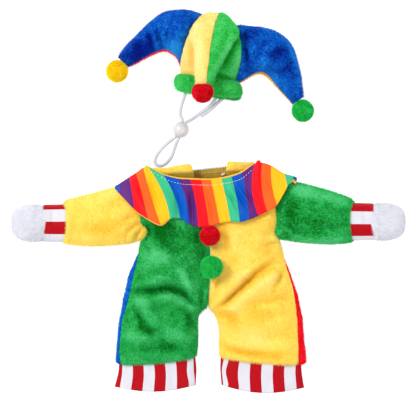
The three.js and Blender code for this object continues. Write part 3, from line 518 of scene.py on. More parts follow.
YELLOW_SHADE_STROKES = (
    Fold((62, -91), (69, -87), (76, -82), 6, -0.25),
    Fold((31, -151), (52, -149), (72, -144), 10, -0.2),
    Fold((63, -44), (69, -47), (75, -52), 6, -0.25),
    Fold((30, -40), (36, -56), (34, -72), 9, -0.2),
    # Painted shadow of the red chest pompom, under the collar.
    Fold((15, -26), (14, -33), (12, -41), 6, 0.3),
    Fold((12, -123), (22, -127), (32, -131), 6, 0.25),
    Fold((18, -158), (55, -164), (92, -166), 5, 0.25),
    Fold((42, -118), (56, -124), (74, -124), 9, 0.15),
)
LEFT_HORN_SHADE_STROKES = (
    Fold((-90, 143), (-74, 152), (-58, 164), 12, 0.5),
    Fold((-40, 162), (-34, 154), (-27, 146), 9, -0.35),
    Fold((-46, 172), (-45, 165), (-43, 157), 5, -0.2),
    Fold((-22, 188), (-25, 183), (-28, 177), 8, 0.15),
)
RIGHT_HORN_SHADE_STROKES = (
    Fold((42, 161), (47, 166), (54, 168), 12, 0.3),
    Fold((58, 127), (68, 124), (79, 118), 9, -0.3),
    Fold((89, 157), (95, 142), (98, 121), 6, -0.25),
    Fold((70, 150), (76, 152), (84, 148), 9, 0.2),
)
SLEEVE_LEFT_SHADE_STROKES = (
    Fold((-80, 12), (-104, 4), (-140, -4), 7, -0.15),
    Fold((-84, -32), (-104, -30), (-124, -32), 10, 0.15),
)
SLEEVE_RIGHT_SHADE_STROKES = (
    Fold((82, 10), (108, 5), (144, -4), 5, -0.3),
    Fold((88, -45), (112, -47), (146, -45), 4, -0.3),
    Fold((82, 0), (88, -14), (90, -34), 9, 0.35),
    Fold((92, -22), (112, -24), (134, -24), 12, 0.25),
)
SLEEVE_LEFT_FOLDS = (
    Fold((-69, -33), (-73, -38), (-77, -46), 2, 2.6, 2.4),
    Fold((-68, -27), (-76, -30), (-86, -40), 2.4, 2.4, 3),
    Fold((-72, -20), (-82, -22), (-94, -30), 3.4, 1.6, 4),
    Fold((-84, -50), (-86, -44), (-92, -38), 2.2, 2, 2.2),
    Fold((-80, 4), (-96, -6), (-116, -8), 6, 1.8, 6),
    Fold((-104, -38), (-120, -34), (-136, -36), 6, 1.8, 6),
    Fold((-142, -10), (-139, -24), (-141, -38), 4, 1.4, 4),
)
SLEEVE_RIGHT_FOLDS = (
    Fold((76, -26), (86, -30), (95, -42), 2.6, 2.6, 3),
    Fold((76, -34), (82, -38), (86, -44), 2, 2.2, 2.4),
    Fold((82, 6), (98, -4), (116, -6), 6, 1.8, 6),
    Fold((106, -36), (122, -32), (138, -34), 6, 1.8, 6),
    Fold((146, -12), (143, -24), (146, -38), 4, 1.4, 4),
)
COLLAR_FOLDS = (
    Fold((-16, 9.5), (-15.8, -8), (-14.6, -31), 1.3, 3.4, 3.4),
    Fold((-12.4, 8), (-11.6, -8), (-9, -27), 2, -1.2, 3),
    Fold((-24, 8), (-22, -6), (-22.5, -28), 3, -1.2, 3),
    Fold((29, 9), (35, -1), (43, -13), 1.8, 2.6, 1.8),
    Fold((35, 12), (43, 1), (52, -10), 1.8, 2.2, 1.8),
    Fold((17, 9), (23, 2), (30, -6), 1.6, 2, 1.6),
    Fold((24, 4), (28, -6), (33, -16), 1.6, 2, 1.6),
    Fold((-36, 12), (-32, -2), (-29, -18), 1.8, 2.2, 1.8),
    Fold((0, 6), (3, -8), (6, -24), 1.6, 1.8, 1.6),
    Fold((-60, 20), (-57, 4), (-51, -10), 1.6, 2.4, 2),
    Fold((-74, 16), (-70, 4), (-62, -12), 1.8, 2.2, 2.2),
    Fold((56, 28), (57, 14), (61, -2), 1.6, 2.3, 2),
    Fold((-38, 4), (-33, -8), (-31, -22), 4, 1.8, 3),
    Fold((6, 10), (12, -6), (18, -26), 3.5, 1.4, 3),
    Fold((-64, 24), (-58, 6), (-50, -12), 3, 1.4, 4),
    Fold((-80, 8), (-74, -2), (-68, -20), 4, 1.4, 4),
    Fold((49, 22), (51, 10), (57, -4), 2.4, 1.6, 3),
    Fold((62, 22), (68, 10), (78, 2), 3.5, 1.6, 3),
)

# ------------------------------------------------------------------ small helpers


def linear(hex_colour):
    """A colour given as an sRGB hex value, turned to the linear values that shaders use."""
    parts = (int(hex_colour[i : i + 2], 16) / 255 for i in (1, 3, 5))
    return tuple(c / 12.92 if c <= 0.04045 else ((c + 0.055) / 1.055) ** 2.4 for c in parts)


def mix(a, b, t):
    return a + (b - a) * t


def clamp(value, low=0.0, high=1.0):
    return min(max(value, low), high)


def bell(value, middle, width):
    """1 at the middle, and next to nothing from two widths away."""
    return math.exp(-(((value - middle) / width) ** 2))


def swell(distance, reach):
    """0 at a seam and 1 from `reach` on, as stuffed cloth rises from a seam."""
    return math.sin(math.pi / 2 * clamp(distance / reach))


def bulge(distance, reach):
    """The same, but upright at the seam, as cloth turns over an edge."""
    return math.sqrt(1 - (1 - clamp(distance / reach)) ** 2)


def uneven(x, y, layers):
    """Low, uneven undulation of soft cloth, the sum of its layers."""
    return sum(height * noise.noise(Vector((x / size, y / size, seed))) for size, height, seed in layers)


def soft_oval(angle, height, flattened=1.18):
    """Height on a stuffed tube that lies on the ground, at an angle round its section."""
    sine = math.sin(angle)
    return max(height / 2 * (1 + sine * (flattened if sine < 0 else 1)), 0)


def cushion(point, height, layers, folds):
    """Lays the humps and creases of a stuffed piece's cloth on its upper half."""
    if point.z > height / 2:
        hump = uneven(point.x, point.y, layers) - fall(folds, point.x, point.y)
        point.z += hump * swell(point.z - height / 2, FOLD_RISE)


def handed(side):
    """The sign of x on a side of the costume."""
    return -1 if side == "L" else 1


def surface(name, across, down, place, facing=UP, close=False, folds=(), shade_strokes=(), covered=None):
    """A grid of across by down squares laid on the surface place(u, v), given in the tables'
    millimetres. The face furthest towards facing shows that way; close joins u = 0 to u = 1 into
    a tube. Painted shade goes in the troughs of the folds and painted light on their ridges, with
    patches of both from the shade strokes, and nothing grows where the piece is covered."""
    bm = bmesh.new()
    bm.loops.layers.uv.new("UVMap")
    bmesh.ops.create_grid(bm, x_segments=across, y_segments=down, size=0.5, calc_uvs=True)
    for vert in bm.verts:
        vert.co = (place(vert.co.x + 0.5, vert.co.y + 0.5) + SHIFT) * MM
    bmesh.ops.remove_doubles(bm, verts=bm.verts, dist=0.00002 if close else 0.000001)
    bmesh.ops.recalc_face_normals(bm, faces=bm.faces)
    bm.normal_update()
    outermost = max(bm.faces, key=lambda face: face.calc_center_median().dot(facing))
    if outermost.normal.dot(facing) < 0:
        bmesh.ops.reverse_faces(bm, faces=bm.faces)
    nap, cover = [], []
    for vert in bm.verts:
        spot = vert.co / MM - SHIFT
        # Painted shade in the troughs of the creases and painted light on their ridges, plus the shade
        # strokes' patches.
        closed = PAINTED_SHADE_BY_DEPTH * fall(folds, spot.x, spot.y)
        nap.append(clamp(0.5 - closed - SHADE_BY_STROKE * fall(shade_strokes, spot.x, spot.y)))
        cover.append(0 if spot.z < PILE_FROM_Z or covered and covered(spot) else 1)
    return mesh_object(name, bm, nap, cover)


def mesh_object(name, bm, nap=None, cover=None):
    """Turns a bmesh into a smooth object. nap holds the painted shade and painted light
    of its pile, and cover where the pile grows.
    """
    mesh = bpy.data.meshes.new(name)
    bm.to_mesh(mesh)
    bm.free()
    for polygon in mesh.polygons:
        polygon.use_smooth = True
    for label, values, usual in (("nap", nap, 0.5), ("cover", cover, 1)):
        attribute = mesh.attributes.new(label, "FLOAT", "POINT")
        attribute.data.foreach_set("value", values or [usual] * len(mesh.vertices))
    return linked(name, mesh)


def linked(name, data):
    """A new object in the scene."""
    made = bpy.data.objects.new(name, data)
    bpy.context.scene.collection.objects.link(made)
    return made


def keep(piece, slot, material, *nodes):
    """Gives a piece its material and its place in the frame: under the
    root body, hiding the nodes it stands for. slot is not used."""
    if material is not None:
        piece.data.materials.clear()
        piece.data.materials.append(material)
    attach(piece, "root")
    if nodes:
        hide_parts(*nodes)
    return piece


def wall(piece, thickness):
    """Gives a sheet its thickness, inwards from the side that shows."""
    modifier = piece.modifiers.new("wall", "SOLIDIFY")
    modifier.thickness = thickness
    modifier.offset = -1


def settings():
    return bpy.context.scene.clown_sizes, bpy.context.scene.clown_colours


# ------------------------------------------------------------------ materials


def add_node(tree, kind, inputs=None, stops=(), **options):
    """Adds a node. inputs are by name or number: a value, or another node's output to link. The stops of a
    colour ramp are places with linear colours."""
    made = tree.nodes.new(kind)
    for option, value in options.items():
        setattr(made, option, value)
    for key, value in (inputs or {}).items():
        socket = made.inputs[key]
        if isinstance(value, bpy.types.NodeSocket):
            tree.links.new(value, socket)
        else:
            socket.default_value = (*value, 1) if socket.type == "RGBA" else value
    for _ in stops[2:]:
        made.color_ramp.elements.new(1.0)
    for i, (place, colour) in enumerate(stops):
        made.color_ramp.elements[i].position = place
        made.color_ramp.elements[i].color = (*colour, 1)
    return made


def new_material(name):
    material = bpy.data.materials.new(name)
    material.use_nodes = True
    material.node_tree.nodes.clear()
    return material, material.node_tree


def finished(material, tints, sockets, relief=None):
    """Gives a material its shader. Its colour is the product of the tints. relief is a height, how much of
    it shows and its depth in millimetres."""
    tree = material.node_tree
    colour, *others = tints
    for tint in others:
        colour = add_node(
            tree, "ShaderNodeMix", {"Factor": 1.0, 6: colour, 7: tint},
            data_type="RGBA", blend_type="MULTIPLY",
        ).outputs[2]
    inputs = {"Base Color": colour, **sockets}
    if relief:
        height, strength, deep_mm = relief
        bump = add_node(
            tree, "ShaderNodeBump", {"Height": height, "Strength": strength, "Distance": deep_mm * MM}
        )
        inputs["Normal"] = bump.outputs[0]
    shader = add_node(tree, "ShaderNodeBsdfPrincipled", inputs)
    add_node(tree, "ShaderNodeOutputMaterial", {"Surface": shader.outputs[0]})
    return material


def lumps(tree, size_mm):
    """Noise on the object's own coordinates, with lumps of about size_mm."""
    place = add_node(tree, "ShaderNodeTexCoord").outputs["Object"]
    return add_node(tree, "ShaderNodeTexNoise", {"Vector": place, "Scale": 1 / (size_mm * MM)}).outputs["Fac"]


def drift(tree, size_mm, darker, lighter):
    """A colour that drifts between two from lump to lump."""
    stops = (0.3, darker), (0.7, lighter)
    return add_node(tree, "ShaderNodeValToRGB", {"Fac": lumps(tree, size_mm)}, stops).outputs["Color"]


def grey(level):
    return (level,) * 3


def shade(colour, factor):
    return tuple(clamp(c * factor) for c in colour)


def pile_albedo(colour, lost=0.6):
    """The colour of a single fibre: paler than the cloth's, because light is lost between the fibres."""
    return tuple(c / (1 - lost + lost * c) for c in colour)


def deepened(colour, power):
    """A dyed cloth's colour as if its light had met more fibres, or fewer where power is below 1. The
    plush's painted shade and painted light are made with it.
    """
    return tuple(c**power for c in colour)


def luminance(colour):
    return 0.21 * colour[0] + 0.72 * colour[1] + 0.07 * colour[2]


def shaded_plush_colour(tree, colour):
    """The plush's colour with its painted shade and painted light: deeper where shade is painted, paler
    where light is painted, and mottled at random. A dark dye deepens more than a pale one."""
    darkness = 1 - luminance(colour)
    # Painted shade: the deeper, dimmer colour where shade is painted.
    closed = shade(deepened(colour, 1 + DEEPENING + DARK_DEEPENING * darkness), 1 - PAINTED_SHADE_DIMMING * darkness)
    painted_light = deepened(colour, mix(PALEST, DARK_PALEST, darkness))
    # The painted shade and light laid on the skin, then random mottling.
    shading_and_mottle = add_node(tree, "ShaderNodeAttribute", attribute_name="nap").outputs["Fac"]
    for size_mm, strength in MOTTLES:
        centred = add_node(tree, "ShaderNodeMath", {0: lumps(tree, size_mm), 1: 0.5}, operation="SUBTRACT")
        shown = strength * mix(PALE_MOTTLE, 1, darkness)
        shading_and_mottle = add_node(
            tree, "ShaderNodeMath", {0: centred.outputs[0], 1: shown, 2: shading_and_mottle}, operation="MULTIPLY_ADD"
        ).outputs[0]
    stops = (0.0, closed), (0.5, colour), (1.0, painted_light)
    return add_node(tree, "ShaderNodeValToRGB", {"Fac": shading_and_mottle}, stops).outputs["Color"]


def plush_fibre(name, colour):
    """Cut pile of polyester plush with faintly sheeny tips, and painted shade at the roots,
    where the fibres shade each other; the plush's painted shade and light lies in patches."""
    material, tree = new_material(name)
    along, tone = (
        add_node(tree, "ShaderNodeAttribute", attribute_name=label).outputs["Fac"]
        for label in ("tip", "tone")
    )
    # Painted shade: darker towards the roots, where the fibres shade each other.
    root_shade = add_node(
        tree, "ShaderNodeValToRGB", {"Fac": along}, ((0.0, grey(ROOT_LIGHT)), (0.4, grey(1.0)))
    ).outputs["Color"]
    darkest = 1 - mix(*TONES, 1 - luminance(colour))
    each = add_node(
        tree, "ShaderNodeValToRGB", {"Fac": tone}, ((0.0, grey(darkest)), (1.0, grey(1.0)))
    ).outputs["Color"]
    return finished(
        material, (shaded_plush_colour(tree, pile_albedo(colour)), root_shade, each),
        {"Roughness": 0.75, "Sheen Weight": 0.03, "Sheen Roughness": 0.5, "Specular IOR Level": 0.05},
    )


def plush_ground(name, colour):
    """The plush's short under-pile: soft tufts two or three
    millimetres across, in the cloth's own colour, with painted shade between them."""
    material, tree = new_material(name)
    place = add_node(tree, "ShaderNodeTexCoord").outputs["Object"]
    combed = add_node(tree, "ShaderNodeMapping", {"Vector": place, "Scale": (1.6, 0.8, 1)}).outputs[0]
    tufts = add_node(
        tree, "ShaderNodeTexNoise",
        {"Vector": combed, "Scale": 1 / (1.8 * MM), "Detail": 3.0, "Roughness": 0.6},
    ).outputs["Fac"]
    # Painted shade between the tufts.
    between = add_node(
        tree, "ShaderNodeValToRGB", {"Fac": tufts}, ((0.3, grey(ROOT_LIGHT)), (0.55, grey(1.0)))
    ).outputs["Color"]
    return finished(
        material, (shaded_plush_colour(tree, colour), between),
        {"Roughness": 0.85, "Sheen Weight": 0.03, "Sheen Roughness": 0.4, "Specular IOR Level": 0.05},
        (tufts, 0.7, 0.8),
    )


def plush_materials(colour_name):
    """The fibre and the ground of a plush, made once for each colour."""
    colour = tuple(getattr(settings()[1], colour_name))
    names = (f"{colour_name} plush fibre", plush_fibre), (f"{colour_name} plush ground", plush_ground)
    return [bpy.data.materials.get(name) or make(name, colour) for name, make in names]


def weave(tree, thread_mm):
    """Fine diagonal ribs of a satin weave, drawn several threads wide so that they show."""
    place = add_node(tree, "ShaderNodeTexCoord").outputs["Object"]
    turned = add_node(tree, "ShaderNodeMapping", {"Vector": place, "Rotation": (0, 0, 0.7)}).outputs[0]
    scale = 1 / (6.28 * thread_mm * MM)
    ribs = add_node(tree, "ShaderNodeTexWave", {"Vector": turned, "Scale": scale, "Distortion": 0.6})
    return ribs.outputs["Fac"]


def striped_satin(name, colours, stripes, phase=0.0, seam=None):
    """Printed polyester satin: hard-edged stripes along the cloth, a low sheen that runs along the folds.
    seam is the share of the way round from which the stripes are shifted, and by how much."""
    material, tree = new_material(name)
    uv = add_node(tree, "ShaderNodeTexCoord").outputs["UV"]
    across = add_node(tree, "ShaderNodeSeparateXYZ", {"Vector": uv}).outputs["X"]
    repeats = stripes / len(colours)
    count = add_node(tree, "ShaderNodeMath", {0: across, 1: repeats, 2: phase}, operation="MULTIPLY_ADD")
    if seam:
        begins, shift = seam
        past = add_node(tree, "ShaderNodeMath", {0: across, 1: begins}, operation="GREATER_THAN").outputs[0]
        count = add_node(
            tree, "ShaderNodeMath", {0: past, 1: shift, 2: count.outputs[0]}, operation="MULTIPLY_ADD"
        )
    repeat = add_node(tree, "ShaderNodeMath", {0: count.outputs[0]}, operation="FRACT").outputs[0]
    ranked = [(i / len(colours), colour) for i, colour in enumerate(colours)]
    printed = add_node(tree, "ShaderNodeValToRGB", {"Fac": repeat}, ranked)
    printed.color_ramp.interpolation = "CONSTANT"
    faded = drift(tree, 14.0, grey(0.93), grey(1.0))
    return finished(
        material, (printed.outputs["Color"], faded), {"Roughness": 0.48, "Specular IOR Level": 0.1},
        (weave(tree, 0.45), 0.3, 0.1),
    )


def plain_cloth(name, colour, dark=0.8, thread_mm=0.6, roughness=0.8, shaded_inside=1.0):
    """Brushed or woven plain cloth: one dyed colour, a little uneven, with its threads in relief.
    shaded_inside is painted shade, darkening it from its outer edge to its inner edge."""
    material, tree = new_material(name)
    uv = add_node(tree, "ShaderNodeTexCoord").outputs["UV"]
    inwards = add_node(tree, "ShaderNodeSeparateXYZ", {"Vector": uv}).outputs["Y"]
    # Painted shade, darker towards the inner edge.
    painted_inward_shade = add_node(
        tree, "ShaderNodeValToRGB", {"Fac": inwards}, ((0.0, grey(1.0)), (0.8, grey(shaded_inside)))
    ).outputs["Color"]
    return finished(
        material, (drift(tree, 3.0, shade(colour, dark), colour), painted_inward_shade),
        {"Roughness": roughness, "Sheen Weight": 0.3}, (weave(tree, thread_mm), 0.5, 0.1),
    )


def moulded_plastic(name, colour):
    """Injection-moulded ABS: white and glossy, with faint moulding ripple."""
    material, tree = new_material(name)
    return finished(
        material, (drift(tree, 6.0, shade(colour, 0.96), colour),), {"Roughness": 0.2, "IOR": 1.52},
        (lumps(tree, 2.5), 0.05, 0.2),
    )


def braided_elastic(name, colour):
    """Round braided elastic: two sets of threads crossing at a slant, matt white."""
    material, tree = new_material(name)
    uv = add_node(tree, "ShaderNodeTexCoord").outputs["UV"]
    sets = []
    for turn in (0.8, -0.8):
        slanted = add_node(
            tree, "ShaderNodeMapping", {"Vector": uv, "Rotation": (0, 0, turn), "Scale": (60, 3, 1)}
        ).outputs[0]
        sets.append(add_node(tree, "ShaderNodeTexWave", {"Vector": slanted, "Scale": 1.0}).outputs["Fac"])
    crossed = add_node(tree, "ShaderNodeMath", dict(enumerate(sets)), operation="MAXIMUM").outputs[0]
    return finished(
        material, (drift(tree, 0.8, shade(colour, 0.9), colour),), {"Roughness": 0.8}, (crossed, 0.25, 0.2)
    )


def light_table(name, colour, glow):
    """The opal acrylic of a light table: matt, with the faintest mottling, and lit evenly from below."""
    material, tree = new_material(name)
    return finished(
        material, (drift(tree, 40.0, shade(colour, 0.99), colour),),
        {"Roughness": 1.0, "Specular IOR Level": 0.0, "Emission Color": grey(1), "Emission Strength": glow},
    )


# ------------------------------------------------------------------ plush pile

PILE_INPUTS = {
    "Skin": "NodeSocketGeometry",
    "Fibres per square metre": "NodeSocketFloat",
    "Length": "NodeSocketFloat",
    "Width": "NodeSocketFloat",
    "Comb": "NodeSocketVector",
    "Locks": "NodeSocketFloat",
    "Seed": "NodeSocketInt",
    "Lowest facing": "NodeSocketFloat",
    "Material": "NodeSocketMaterial",
}


def pile_group():
    """Geometry nodes that set slim fibres on a skin: leaning along the comb, in locks, and realized."""
    name = "plush pile"
    if name in bpy.data.node_groups:
        return bpy.data.node_groups[name]
    tree = bpy.data.node_groups.new(name, "GeometryNodeTree")
    for label, kind in PILE_INPUTS.items():
        tree.interface.new_socket(label, in_out="INPUT", socket_type=kind)
    tree.interface.new_socket("Pile", in_out="OUTPUT", socket_type="NodeSocketGeometry")
    given = add_node(tree, "NodeGroupInput").outputs
    place = add_node(tree, "GeometryNodeInputPosition").outputs[0]
    normal = add_node(tree, "GeometryNodeInputNormal").outputs[0]

    # Fibres stand on the faces that show, and only where the piece isn't covered.
    facing = add_node(tree, "ShaderNodeSeparateXYZ", {0: normal}).outputs["Z"]
    shown = add_node(
        tree, "FunctionNodeCompare", {0: facing, 1: given["Lowest facing"]}, operation="GREATER_THAN"
    ).outputs[0]
    cover = add_node(tree, "GeometryNodeInputNamedAttribute", {"Name": "cover"}, data_type="FLOAT").outputs[0]
    density = add_node(
        tree, "ShaderNodeMath", {0: given["Fibres per square metre"], 1: cover}, operation="MULTIPLY"
    ).outputs[0]
    points = add_node(
        tree, "GeometryNodeDistributePointsOnFaces",
        {"Mesh": given["Skin"], "Selection": shown, "Density": density, "Seed": given["Seed"]},
        distribute_method="RANDOM",
    ).outputs

    # They lean from the skin's normal, together in locks, and along the comb.
    lean = points["Normal"]
    for size_mm, strength in LOCKS:
        clumps = add_node(
            tree, "ShaderNodeTexNoise", {"Vector": place, "Scale": 1 / (size_mm * MM), "Detail": 1.0}
        ).outputs["Color"]
        centred = add_node(tree, "ShaderNodeVectorMath", {0: clumps, 1: (-0.5,) * 3}, operation="ADD")
        apart = centred.outputs[0]
        for share in (strength, given["Locks"]):
            apart = add_node(
                tree, "ShaderNodeVectorMath", {0: apart, "Scale": share}, operation="SCALE"
            ).outputs[0]
        lean = add_node(tree, "ShaderNodeVectorMath", {0: lean, 1: apart}, operation="ADD").outputs[0]
    lean = add_node(tree, "ShaderNodeVectorMath", {0: lean, 1: given["Comb"]}, operation="ADD").outputs[0]
    turned = add_node(tree, "FunctionNodeAlignRotationToVector", {"Vector": lean}, axis="Z").outputs[0]

    # A fibre is a slim cone with three sides. tip runs along it, and tone differs from one to the next.
    fibre = add_node(
        tree, "GeometryNodeMeshCone",
        {"Vertices": 3, "Radius Top": 0.0, "Radius Bottom": given["Width"], "Depth": given["Length"]},
        fill_type="NGON",
    ).outputs["Mesh"]
    height = add_node(tree, "ShaderNodeSeparateXYZ", {0: place}).outputs["Z"]
    along = add_node(tree, "ShaderNodeMath", {0: height, 1: given["Length"]}, operation="DIVIDE").outputs[0]
    tone, size = (
        add_node(
            tree, "FunctionNodeRandomValue", {2: low, 3: high, "Seed": seed}, data_type="FLOAT"
        ).outputs[1]
        for low, high, seed in ((0.0, 1.0, 3), (0.7, 1.2, 7))
    )
    marked, toned = (
        add_node(
            tree, "GeometryNodeStoreNamedAttribute", {"Geometry": geometry, "Name": label, "Value": value},
            data_type="FLOAT", domain="POINT",
        ).outputs[0]
        for geometry, label, value in ((fibre, "tip", along), (points["Points"], "tone", tone))
    )
    placed = add_node(
        tree, "GeometryNodeInstanceOnPoints",
        {"Points": toned, "Instance": marked, "Rotation": turned, "Scale": size},
    ).outputs[0]
    real = add_node(tree, "GeometryNodeRealizeInstances", {"Geometry": placed}).outputs[0]
    done = add_node(tree, "GeometryNodeSetMaterial", {"Geometry": real, "Material": given["Material"]})
    add_node(tree, "NodeGroupOutput", {0: done.outputs[0]})
    return tree


def pile(
    skin, slot, material, seed,
    comb=(0, -1.0, 0), length=None, width=None, per_mm2=None, locks=1.0, lowest=-0.3,
):
    """A piece of short fibres standing on the skin of another piece. comb is the way that they lie, and
    lowest the least upward normal on which they grow."""
    sizes, _ = settings()
    source = linked("skin", skin.data)
    modifier = source.modifiers.new("pile", "NODES")
    modifier.node_group = pile_group()
    values = {
        "Fibres per square metre": (per_mm2 or sizes.pile_density) / MM**2,
        "Length": length or sizes.pile_length,
        "Width": width or sizes.pile_width,
        "Comb": comb,
        "Locks": locks,
        "Seed": seed,
        "Lowest facing": lowest,
        "Material": material,
    }
    for item in modifier.node_group.interface.items_tree:
        if item.in_out == "INPUT" and item.name in values:
            modifier[item.identifier] = values[item.name]
    bpy.context.view_layer.update()
    grown = source.evaluated_get(bpy.context.evaluated_depsgraph_get())
    mesh = bpy.data.meshes.new_from_object(grown)
    bpy.data.objects.remove(source)
    mesh.name = skin.name + "_pile"
    return keep(linked(skin.name + "_pile", mesh), slot, None)


def plush(piece, slot, colour_name, seed, *nodes, **how):
    """Finishes a skin as plush: its pile, then its knitted ground."""
    fibre, ground = plush_materials(colour_name)
    fur = pile(piece, slot, fibre, seed, **how)
    keep(piece, slot, ground, *nodes)
    return fur


# ------------------------------------------------------------------ shapes of the suit


def side_roll(side, v):
    """How the back turns up at the side: its radius, the angle of its turn, and how far it shows."""
    wrap = clamp(SUIT.at("wrap", v))
    strip = clamp(SUIT.at("strip" + side, v), 0, SIDE_ROLL)
    turn = wrap * (math.pi - math.asin(1 - strip / SIDE_ROLL))
    return SIDE_ROLL * max(wrap, LEAST_ROLL), turn, wrap * strip


def suit_row(v, part, from_side):
    """The y of a place on the suit, with its row's tilt and bow and the roundness of a leg's lower corners.
    part runs from the inner edge to the outer, and from_side is the distance from the nearer of the two."""
    corner = CORNER_UP * (1 - bulge(from_side, CORNER_IN)) * clamp(1 - (1 - v) * SUIT_LENGTH / CORNER_FROM)
    bow = SUIT.at("bow", v) * math.sin(math.pi * part)
    return SUIT.at("y", v) + SUIT.at("tilt", v) * part - bow + corner


def front_surface(side, folds):
    """A front panel: it swells from the centre seam, or the inner leg, and falls to the side."""
    hand = handed(side)

    def place(u, v):
        inner = SUIT.at("inner" + side, v) + hand * SEAM / 2
        outer = SUIT.at("outer" + side, v)
        roll, turn, strip = side_roll(side, v)
        leg = clamp(SUIT.at("leg", v))
        edge = outer - hand * (strip + 1.5 * SEAM * clamp(strip))
        if side == "L":
            edge += PUSHED_IN * bell(SUIT.at("y", v), PUSHED_AT, PUSHED_LONG)
        x = mix(inner, edge, mix(u, (1 - math.cos(math.pi * u)) / 2, EASED))
        from_inner, from_edge = abs(x - inner), abs(edge - x)
        y = suit_row(v, clamp((x - inner) / (outer - inner)), min(from_inner, from_edge))

        crest = SUIT.at("crestZ", v)
        across = clamp((y - ARMHOLE_Y) / ARMHOLE_HALF, -1, 1)
        arm_z = ARMHOLE_HIGH / 2 * (1 + math.sqrt(1 - across**2)) - ARMHOLE_CLEAR
        side_z = mix(arm_z, roll * (1 - math.cos(turn)) + 1.5 * SEAM, clamp(SUIT.at("wrap", v)))
        shoulder_z = max(side_z, SHOULDER_HIGH)
        seam_z = mix(SUIT.at("seamZ", v), LEG_ROLL + 3 * SEAM, leg)
        side_reach = math.pi / 2 * max(crest - shoulder_z, 1) / SIDE_SLOPE
        from_seam = 1 - mix(swell(from_inner, SEAM_REACH), bulge(from_inner, SEAM_REACH), leg)
        z = crest - (crest - seam_z) * from_seam - (crest - shoulder_z) * (1 - swell(from_edge, side_reach))
        z -= (shoulder_z - side_z) * (1 - bulge(from_edge, EDGE_ROUND))
        calm = clamp(min(from_inner, from_edge) / FOLD_CLEAR)
        dent = fall(folds, x, y) - uneven(x, y, FRONT_LUMPS)
        return Vector((x, y, z - dent * calm - HEM_FALL * (1 - bulge((1 - v) * SUIT_LENGTH, HEM_FALL_FROM))))

    return place


def back_surface(side):
    """A back panel: flat on the ground, turned up round the inner
    leg and round the side to the side seam."""
    hand = handed(side)

    def place(u, v):
        inner = SUIT.at("inner" + side, v) + hand * SEAM / 2
        outer = SUIT.at("outer" + side, v)
        roll, turn, strip = side_roll(side, v)
        leg = clamp(SUIT.at("leg", v))
        leg_roll = LEG_ROLL * max(leg, LEAST_ROLL)
        # The first third of the panel turns up at the leg, the second
        # lies flat, the last turns up at the side.
        stretch = 3 * u
        if stretch < 1:
            angle = leg * math.pi / 2 * (1 - stretch)
            x = inner + hand * leg_roll * (1 - LEG_TUCK * math.sin(angle))
            z = leg_roll * (1 - math.cos(angle))
        elif stretch <= 2:
            x = mix(inner + hand * leg_roll, outer - hand * roll, stretch - 1)
            z = 0
        else:
            angle = turn * (stretch - 2)
            x = outer - hand * roll * (1 - math.sin(angle))
            z = roll * (1 - math.cos(angle))
            x -= hand * uneven(x, SUIT.at("y", v), BACK_LUMPS) * clamp(z / 6)
        # The side stays in where the front hides it, which leaves room for its pile.
        x -= hand * SIDE_TUCK * clamp(1 - strip) * clamp(stretch - 1)
        part = clamp((x - inner) / (outer - inner))
        return Vector((x, suit_row(v, part, min(abs(x - inner), abs(outer - x))), z))

    return place


def evenly(half, height, start, steps=240):
    """For a stuffed tube's section, from its angle start on: the angle at a share of the
    way round it, and the share at an angle."""
    points = [
        (half * math.cos(angle), soft_oval(angle, height))
        for angle in (2 * math.pi * i / steps + start for i in range(steps + 1))
    ]
    runs = [0]
    for here, there in zip(points, points[1:]):
        runs.append(runs[-1] + math.dist(here, there))

    def angle_at(share):
        goal = share % 1 * runs[-1]
        i = min(bisect.bisect_right(runs, goal), steps) - 1
        return 2 * math.pi * (i + (goal - runs[i]) / (runs[i + 1] - runs[i])) / steps + start

    def share_at(angle):
        return runs[round((angle - start) / (2 * math.pi) * steps) % steps] / runs[-1]

    return angle_at, share_at


def hem_surface(rows, hand, twist):
    """A hem round a leg opening, from the middle of its back; the share of the way round it at a distance
    in from its left edge; and its width. twist turns the cloth's upper edge round the leg."""
    half = (abs(rows.at("outerX", 1) - rows.at("innerX", 1))) / 2
    angle_at, share_at = evenly(half, rows.at("height", 1), -math.pi / 2)
    left, right = ("outer", "inner") if hand < 0 else ("inner", "outer")
    outermost = math.pi / 2 * (1 - hand)

    def place(u, v):
        # The stripes wander by a wave and a third down the hem, where it turns round the outer edge.
        angle = angle_at(u - twist * (1 - v))
        buckled = bell(angle - outermost, 0.5 * hand, 0.35)
        angle += BUCKLE * math.sin(2 * math.pi * (1.3 * v + 0.1)) * buckled
        part = (1 - math.cos(angle)) / 2
        point = rows.point(left, v).lerp(rows.point(right, v), part)
        point.y -= rows.at("bow", v) * math.sin(math.pi * part)
        # It is flatter by 30 % at the leg's seam, and reaches its height 5 mm further down.
        tall = rows.at("height", v) * (1 - 0.3 * (1 - bulge(v * 30, 5)))
        point.z = soft_oval(angle, tall)
        if point.z > tall / 2:
            wave = uneven(point.x, 0.3 * point.y, HEM_WAVES) + uneven(point.x, point.y, HEM_LUMPS)
            point.z += wave * swell(point.z - tall / 2, 4)
        return point

    return place, lambda inward: share_at(math.acos(1 - inward / half)), 2 * half


